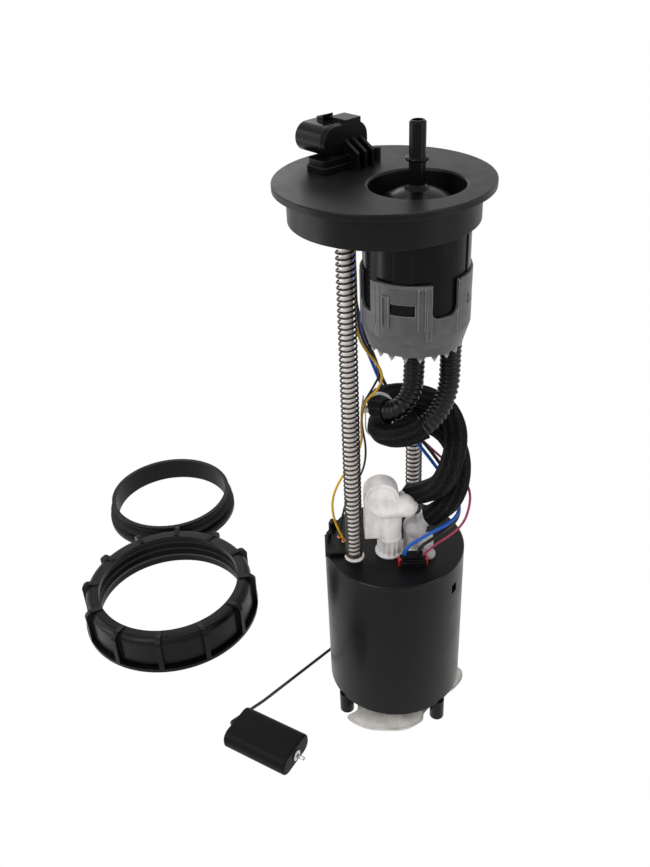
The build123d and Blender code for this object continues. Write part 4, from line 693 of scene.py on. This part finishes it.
def strainerSock():
    low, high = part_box("strainer_sock")
    rows, around = sockShape["rows"], sockShape["around"]
    outline = sockOutline(around)
    middle = Vector(sockShape["middle"])
    level = (low[2] + high[2]) / 2 / mm
    half = (high[2] - low[2]) / 2 / mm
    thin = sockShape["hem"] / 2
    puckerDeep, puckerWide = sockShape["puckerSpot"]
    corners = []
    for side in (1, -1):
        for row in range(rows + 1):
            share = 1 - (row / rows) ** 1.35  # 1 at the hem, 0 in the middle
            for spot in outline:
                flat = middle + (spot - middle) * (sockShape["reach"] * share)
                depth = (1 - share) * (spot - middle).length
                full = min(1.0, max(0.0, (depth - sockShape["weld"]) / sockShape["slope"])) ** 0.55
                swell = thin + (half - thin) * full
                crease = noise.noise(Vector((*(flat * sockShape["creaseRate"]), 3.0 * side)))
                crease = max(0.0, crease) * sockShape["crease"] * min(1.0, depth / sockShape["creaseSlope"])
                pucker = noise.noise(Vector((*(flat * sockShape["puckerRate"]), 9.0 * side)))
                pucker *= math.exp(-((depth - puckerDeep) / puckerWide) ** 2)
                rise = swell - crease - abs(pucker) * sockShape["pucker"]
                rise = min(half, max(sockShape["least"], rise))
                corners.append((flat.x * mm, flat.y * mm, (level + side * rise) * mm))
    bottom = (rows + 1) * around
    faces = gridFaces(rows, around)
    faces += [face[::-1] for face in gridFaces(rows, around, bottom)]
    for k in range(around):
        after = (k + 1) % around
        faces.append((k, bottom + k, bottom + after, after))
    sock = newPiece("strainerSock", corners, faces, "felt", ["strainer_sock"])
    shape = bmesh.new()
    shape.from_mesh(sock.data)
    bmesh.ops.remove_doubles(shape, verts=shape.verts, dist=0.02 * mm)
    bmesh.ops.recalc_face_normals(shape, faces=shape.faces)
    shape.to_mesh(sock.data)
    shape.free()


strainerSock()
print("strainer sock made")


def meltedPiece(name, forms, finish, replaced, voxel, relax):
    # overlapping closed forms melted into one moulding with soft inner corners
    shape = bmesh.new()
    for kind, *values in forms:
        if kind == "rod":
            start, end, reach = Vector(values[0]), Vector(values[1]), values[2]
            first, last = reach if isinstance(reach, tuple) else (reach, reach)
            turn = (end - start).to_track_quat("Z", "Y").to_matrix().to_4x4()
            place = Matrix.Translation((start + end) / 2 * mm) @ turn
            bmesh.ops.create_cone(shape, cap_ends=True, segments=48, radius1=first * mm, radius2=last * mm,
                                  depth=(end - start).length * mm, matrix=place)
        elif kind == "ball":
            bmesh.ops.create_uvsphere(shape, u_segments=40, v_segments=24, radius=values[1] * mm,
                                      matrix=Matrix.Translation(Vector(values[0]) * mm))
        else:
            bmesh.ops.create_cube(shape, size=1.0, matrix=Matrix.Translation(Vector(values[0]) * mm)
                                  @ Matrix.Diagonal((*(Vector(values[1]) * mm), 1.0)))
    loose = bpy.data.meshes.new("loose")
    shape.to_mesh(loose)
    shape.free()
    holder = placed("loose", loose)
    melt = holder.modifiers.new("melt", "REMESH")
    melt.mode = "VOXEL"
    melt.voxel_size = voxel * mm * 1
    soften = holder.modifiers.new("soften", "SMOOTH")
    soften.factor = 0.5
    soften.iterations = relax
    bpy.context.view_layer.update()
    melted = bpy.data.meshes.new_from_object(holder.evaluated_get(bpy.context.evaluated_depsgraph_get()))
    corners = [tuple(v.co) for v in melted.vertices]
    faces = [tuple(p.vertices) for p in melted.polygons]
    bpy.data.objects.remove(holder)
    bpy.data.meshes.remove(loose)
    bpy.data.meshes.remove(melted)
    newPiece(name, corners, faces, finish, replaced)


# supply elbow: a humped body, a round-ended barrel, a fluted stem and its foot
elbow = {"stem": (1.6, -10.2), "stemReach": 7.7, "stemHigh": 17, "foot": (10.4, 1.7), "collar": (13, 15.5, 8.8),
         "flutes": 14, "flute": (1, 14, 0.75), "fluteReach": 8.2, "hump": (-4.0, -216.5), "humpReach": 12.3,
         "front": -14.8, "back": -1.5, "face": (-16.0, -14.0, 9.9), "block": ((-0.6, -8.6, -17), (23.4, 13.4, 34.5)),
         "barrel": -223.6, "barrelFront": -13.6, "barrelReach": 8.1, "barrelEnd": 13.4, "barrelStart": -7,
         "shoulder": ((-5.5, 1.2, 0), 7.8), "neck": (15, (-0.5, 2), (8.4, 10.2)), "nozzle": 0.5,
         "outlet": ((8, -9, -224), (17.5, -3, -221), 5.6)}


def supplyElbow():
    low = (Vector(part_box("supply_elbow")[0]) / mm).z
    sx, sy = elbow["stem"]
    hx, hz = elbow["hump"]
    footReach, footHigh = elbow["foot"]
    collarLow, collarHigh, collarReach = elbow["collar"]
    faceFront, faceBack, faceReach = elbow["face"]
    blockSpot, blockSize = elbow["block"]
    barrelAt = Vector((0, elbow["barrelFront"], elbow["barrel"]))
    barrelEnd = barrelAt + Vector((elbow["barrelEnd"], 0, 0))
    shoulder, shoulderReach = elbow["shoulder"]
    neckLow, (neckRight, neckBack), neckReach = elbow["neck"]
    forms = [
        ("rod", (sx, sy, lidLevel), (sx, sy, lidLevel + footHigh), footReach),
        ("rod", (sx, sy, low + elbow["nozzle"]), (sx, sy, lidLevel + elbow["stemHigh"]), elbow["stemReach"]),
        ("rod", (sx, sy, lidLevel + collarLow), (sx, sy, lidLevel + collarHigh), collarReach),
        ("rod", (hx, elbow["front"], hz), (hx, elbow["back"], hz), elbow["humpReach"]),
        ("rod", (hx, faceFront, hz), (hx, faceBack, hz), faceReach),
        ("block", (hx + blockSpot[0], blockSpot[1], hz + blockSpot[2]), blockSize),
        ("rod", barrelAt + Vector((elbow["barrelStart"], 0, 0)), barrelEnd, elbow["barrelReach"]),
        ("ball", barrelEnd, elbow["barrelReach"]),
        ("ball", barrelAt + Vector(shoulder), shoulderReach),
        ("rod", (sx, sy, lidLevel + neckLow), (sx + neckRight, sy + neckBack, elbow["barrel"]), neckReach),
        ("rod", *elbow["outlet"]),
    ]
    fluteLow, fluteHigh, fluteWide = elbow["flute"]
    for n in range(elbow["flutes"]):
        angle = 2 * math.pi * n / elbow["flutes"]
        x, y = sx + elbow["fluteReach"] * math.cos(angle), sy + elbow["fluteReach"] * math.sin(angle)
        forms.append(("rod", (x, y, lidLevel + fluteLow), (x, y, lidLevel + fluteHigh), fluteWide))
    meltedPiece("supplyElbow", forms, "milkPlastic", ["supply_elbow"], voxel=0.45, relax=3)


# return elbow: a domed stem, its outlet, a ribbed pad and a white stub beside it; heights over the lid
fitting = {"stem": (20, -5), "stemReach": 7.6, "stemHigh": 18, "dome": (20.3, -5.6, 17.6), "domeReach": 8.6,
           "foot": (9.2, 1.5), "outlet": (22, -5.5, 19), "mouth": (32, -9.2, -236.5), "outletReach": 5.2,
           "pad": (27.6, -10.6, 8.5), "padSize": (10.5, 8.0, 8.0), "ribs": 6, "ribSpot": (23.4, -14.9),
           "ribApart": 1.7, "rib": (5, 12.4, 0.5), "stub": (29, -17.6), "stubFoot": (5.0, 3.4),
           "stubTop": (29, -16.6, 8), "stubReach": (3.6, 3.0)}


def overLid(x, y, high):
    return (x, y, lidLevel + high)


def returnElbow():
    stem, stub = fitting["stem"], fitting["stub"]
    footReach, footHigh = fitting["foot"]
    ribLow, ribHigh, ribReach = fitting["rib"]
    stubWide, stubHigh = fitting["stubFoot"]
    forms = [
        ("rod", overLid(*stem, 0), overLid(*stem, fitting["stemHigh"]), fitting["stemReach"]),
        ("ball", overLid(*fitting["dome"]), fitting["domeReach"]),
        ("rod", overLid(*stem, 0), overLid(*stem, footHigh), footReach),
        ("rod", overLid(*fitting["outlet"]), fitting["mouth"], fitting["outletReach"]),
        ("block", overLid(*fitting["pad"]), fitting["padSize"]),
    ]
    for n in range(fitting["ribs"]):
        spot = (fitting["ribSpot"][0] + fitting["ribApart"] * n, fitting["ribSpot"][1])
        forms.append(("rod", overLid(*spot, ribLow), overLid(*spot, ribHigh), ribReach))
    forms.append(("rod", overLid(*stub, 0), overLid(*stub, stubHigh), stubWide))
    forms.append(("rod", overLid(*stub, 0), overLid(*fitting["stubTop"]), fitting["stubReach"]))
    replaced = ["return_elbow", "pressure_regulator"]
    meltedPiece("returnElbow", forms, "smokePlastic", replaced, voxel=0.42, relax=3)


# guard over the sender's wires at the lid's left edge: a pad and a low curved wall with three lugs
guard = {"pad": (-36.5, -3.0, -265.0), "padSize": (17.0, 22.0, 3.6), "centre": (6.0, 0.0), "reach": 48,
         "wall": (150.0, 186.0), "wallHigh": 3.5, "wallHalf": 1.9, "lug": 5.5, "lugs": (2, 3, 7), "steps": 10}


def senderGuard():
    cx, cy = guard["centre"]
    first, last = guard["wall"]
    forms = [("block", guard["pad"], guard["padSize"])]
    for n in range(guard["steps"]):
        angle = math.radians(first + (last - first) * (n + 0.5) / guard["steps"])
        high = guard["wallHigh"] + (guard["lug"] if n in guard["lugs"] else 0.0)
        spot = (cx + guard["reach"] * math.cos(angle), cy + guard["reach"] * math.sin(angle))
        forms.append(("rod", overLid(*spot, -0.3), overLid(*spot, high), guard["wallHalf"]))
    meltedPiece("senderGuard", forms, "potPlastic", ["sender_bracket"], voxel=0.5, relax=2)


# raised frames on the basket's front tab, and the canister's front band
trim = {"centre": (17.5, -15.0), "tab": (213.5, 280.2), "tabReach": 33.7, "sunk": 0.3, "rise": 0.45, "deep": 27.0,
        "topBar": (1.7, 0.05), "sideBar": (7, 1.8), "lineTop": 1.6, "grooveTop": 8.0, "grooveBar": (8.4, 7.0),
        "lines": ((265.6, 267.4), (272.4, 274.2)), "groove": ((228.2, 229.6), (235.4, 236.8)),
        "band": (239.5, 261.5), "bandFoot": 2.0, "bandTop": -21.0, "canister": 31.0, "bandRise": 0.8,
        "step": 1.5, "soft": 0.3}


def bentBars(name, bars, finish):
    # bars wrapped round the filter's axis: from and to in degrees, low and high, inner and outer radius
    corners, faces = [], []
    cx, cy = trim["centre"]
    for (first, last), (low, high), (inner, outer) in bars:
        steps = max(2, round((last - first) / trim["step"]))
        soft = min(trim["soft"], (outer - inner) * 0.5)
        width = math.degrees(soft / outer)
        turns = [first, first + width] + [first + (last - first) * n / steps for n in range(1, steps)]
        turns += [last - width, last]
        base = len(corners)
        for index, turn in enumerate(turns):
            edge = index in (0, len(turns) - 1)
            reach = outer - soft if edge else outer
            for radius, level in ((inner, low), (reach - soft, low), (reach, low + soft), (reach, high - soft),
                                  (reach - soft, high), (inner, high)):
                angle = math.radians(turn)
                spot = Vector((cx + radius * math.cos(angle), cy + radius * math.sin(angle), level))
                corners.append(spot * mm)
        for index in range(len(turns) - 1):
            for k in range(6):
                after = (k + 1) % 6
                faces.append((base + index * 6 + k, base + (index + 1) * 6 + k, base + (index + 1) * 6 + after,
                              base + index * 6 + after))
        faces.append(tuple(base + k for k in range(6)))
        faces.append(tuple(base + (len(turns) - 1) * 6 + k for k in reversed(range(6))))
    piece = newPiece(name, corners, faces, finish, body="flange_unit")
    piece.data.polygons.foreach_set("use_smooth", [False] * len(piece.data.polygons))


def filterTrim():
    top = (Vector(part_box("filter_basket")[1]) / mm).z
    face = (trim["tabReach"] - trim["sunk"], trim["tabReach"] + trim["rise"])
    foot = top - trim["deep"]
    first, last = trim["tab"]
    sideWide, sideTop = trim["sideBar"]
    bars = [((first, last), tuple(top - down for down in trim["topBar"]), face),
            ((first, first + sideWide), (foot, top - sideTop), face)]
    bars += [(line, (foot, top - trim["lineTop"]), face) for line in trim["lines"]]
    bars += [(edge, (foot, top - trim["grooveTop"]), face) for edge in trim["groove"]]
    groove = (trim["groove"][0][0], trim["groove"][1][1])
    bars.append((groove, tuple(top - down for down in trim["grooveBar"]), face))
    bentBars("basketTrim", bars, "basketPlastic")
    band = [(trim["band"], (top - trim["bandFoot"], trim["bandTop"]),
             (trim["canister"] - trim["sunk"], trim["canister"] + trim["bandRise"]))]
    bentBars("canisterBand", band, "glossPlastic")


# two thin red slides that lock the pump's plug, each with a small hooked lip
locks = {"spot": (17.0, -26.0), "apart": 19.6, "slide": (1.3, 4.6, 5.6), "lip": (1.9, 1.6, 1.0), "lipSpot": (0.5, 1.4)}


def plugLocks():
    forms = []
    middle, front = locks["spot"]
    inward, forward = locks["lipSpot"]
    high = locks["slide"][2]
    for side in (-1, 1):
        x = middle + side * locks["apart"] / 2
        forms.append(("block", (x, front, lidLevel + high / 2), locks["slide"]))
        forms.append(("block", (x - side * inward, front - forward, lidLevel + high), locks["lip"]))
    meltedPiece("plugLocks", forms, "redPlastic", ["plug_locks"], voxel=0.22, relax=2)


supplyElbow()
returnElbow()
senderGuard()
filterTrim()
plugLocks()
print("fittings, guard, trim and locks made")

# push nut: a serrated spring disc pressed on the end of the float wire
nutShape = {"teeth": 16, "thick": 0.45, "dish": 0.5, "turn": -32.4, "notches": (2.0, 3.55), "tip": 1.32,
            "tipEnd": 1.0, "tipSoft": 0.35, "tipPast": 0.05, "tipStart": 0.3,
            "profile": [(1.35, 0.9), (2.3, 0.75), (3.0, 0.2), (3.5, 0.0), (4.2, 0.0)]}


def pushNut():
    low, high = (Vector(c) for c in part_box("push_nut"))
    centre = (low + high) / 2 / mm
    turn = math.radians(nutShape["turn"])
    axis = Vector((math.cos(turn), math.sin(turn), 0))
    across = Vector((-axis.y, axis.x, 0))
    upright = Vector((0, 0, 1))
    corners = []
    count = nutShape["teeth"] * 4
    bore, rim = nutShape["profile"][0][0], nutShape["profile"][-1][0]
    boreNotch, rimNotch = nutShape["notches"]
    for face in (0.5, -0.5):
        for reach, lift in nutShape["profile"]:
            for k in range(count):
                angle = 2 * math.pi * k / count
                notch = reach
                if reach == rim and k % 4 == 0:
                    notch = rimNotch
                if reach == bore and k % 8 < 2:
                    notch = boreNotch
                spot = centre + across * (notch * math.cos(angle)) + upright * (notch * math.sin(angle))
                spot = spot + axis * (face * nutShape["thick"] + lift * nutShape["dish"])
                corners.append(spot * mm)
    rings = len(nutShape["profile"])
    faces = [(a, d, c, b) for a, b, c, d in gridFaces(rings - 1, count)]
    faces += [(b, c, d, a) for a, b, c, d in gridFaces(rings - 1, count, rings * count)]
    for row in (0, rings - 1):
        for k in range(count):
            after = (k + 1) % count
            quad = (row * count + k, row * count + after, (rings + row) * count + after, (rings + row) * count + k)
            faces.append(quad if row == 0 else quad[::-1])
    newPiece("pushNut", corners, faces, "zincSteel", ["push_nut"], "float_lever")
    # the bare bright end of the float wire, past the nut
    reach = max((v.co / mm - centre).dot(axis) for v in nodes["float_arm"].data.vertices)
    stations = (nutShape["tipStart"], reach * 0.5, reach - nutShape["tipSoft"], reach + nutShape["tipPast"])
    radii = np.array([nutShape["tip"]] * 3 + [nutShape["tipEnd"]]) * mm
    corners, faces = tubeMesh([(centre + axis * along) * mm for along in stations], radii, 24)
    newPiece("wireTip", corners, faces, "zincSteel", body="float_lever")


pushNut()
print("push nut made")

white = (1.0, 1.0, 1.0, 1.0)
studio = {"floor": 0.93, "floorReach": 6.0, "nearShare": 0.78, "near": (0.14, 0.45), "ambient": 0.4}


def studioFloor():
    recipe = Recipe("paleFloor")
    fine = recipe.grain(20 * mm, 2.0)
    tone = recipe.blend(fine * 0.1, (studio["floor"],) * 3 + (1.0,), (0.9, 0.9, 0.9, 1.0))
    plain = recipe.node("BsdfPrincipled", {}, {"Base Color": tone, "Roughness": 0.9, "Specular IOR Level": 0.1})
    glow = recipe.node("Emission", {}, {"Color": white, "Strength": 1.0})
    reach = recipe.node("VectorMath", {"operation": "LENGTH"}, {0: recipe.place}, "Value")
    share = studio["nearShare"] + reach.between(*studio["near"]) * (1 - studio["nearShare"])
    share = recipe.seenRays() * share
    recipe.node("OutputMaterial", {}, {"Surface": recipe.node("MixShader", {}, {0: share, 1: plain, 2: glow})})
    shape = bpy.data.meshes.new("floor")
    half = studio["floorReach"]
    shape.from_pydata([(x * half, y * half, floorLevel * mm) for x, y in ((-1, -1), (1, -1), (1, 1), (-1, 1))],
                      [], [(0, 1, 2, 3)])
    shape.materials.append(recipe.owner)
    placed("floor", shape)


def studioWorld():
    recipe = Recipe("studio", bpy.data.worlds.new("studio"))
    bpy.context.scene.world = recipe.owner
    level = recipe.seenRays() * (1 - studio["ambient"]) + studio["ambient"]
    sky = recipe.node("Background", {}, {"Color": white, "Strength": level})
    recipe.node("OutputWorld", {}, {"Surface": sky})


lamps = {
    "keyLamp": {"place": (-0.8, -0.75, 0.7), "power": 9.0, "size": (0.5, 0.9)},
    "fillLamp": {"place": (0.95, -0.6, 0.2), "power": 5.0, "size": (0.3, 1.2)},
    "topLamp": {"place": (0.1, 0.25, 1.05), "power": 4.0, "size": (0.8, 0.8)},
    "edgeLamp": {"place": (-0.95, 0.35, -0.05), "power": 3.2, "size": (0.25, 1.2)},
    "stripLamp": {"place": (-0.55, -0.03, -0.24), "power": 0.55, "size": (0.1, 0.34)},
    "backLamp": {"place": (-0.3, 1.1, 0.36), "power": 1.0, "size": (0.5, 0.35)},
}
aim = Vector((0.0, 0.0, -0.18))
for lampName, lamp in lamps.items():
    light = bpy.data.lights.new(lampName, "AREA")
    light.shape = "RECTANGLE"
    light.size, light.size_y = lamp["size"]
    light.energy = lamp["power"]
    holder = placed(lampName, light)
    holder.location = lamp["place"]
    holder.rotation_euler = (aim - Vector(lamp["place"])).to_track_quat("-Z", "Y").to_euler()
studioFloor()
studioWorld()
bpy.context.scene.view_settings.view_transform = "Standard"
print("floor, world and lamps set")
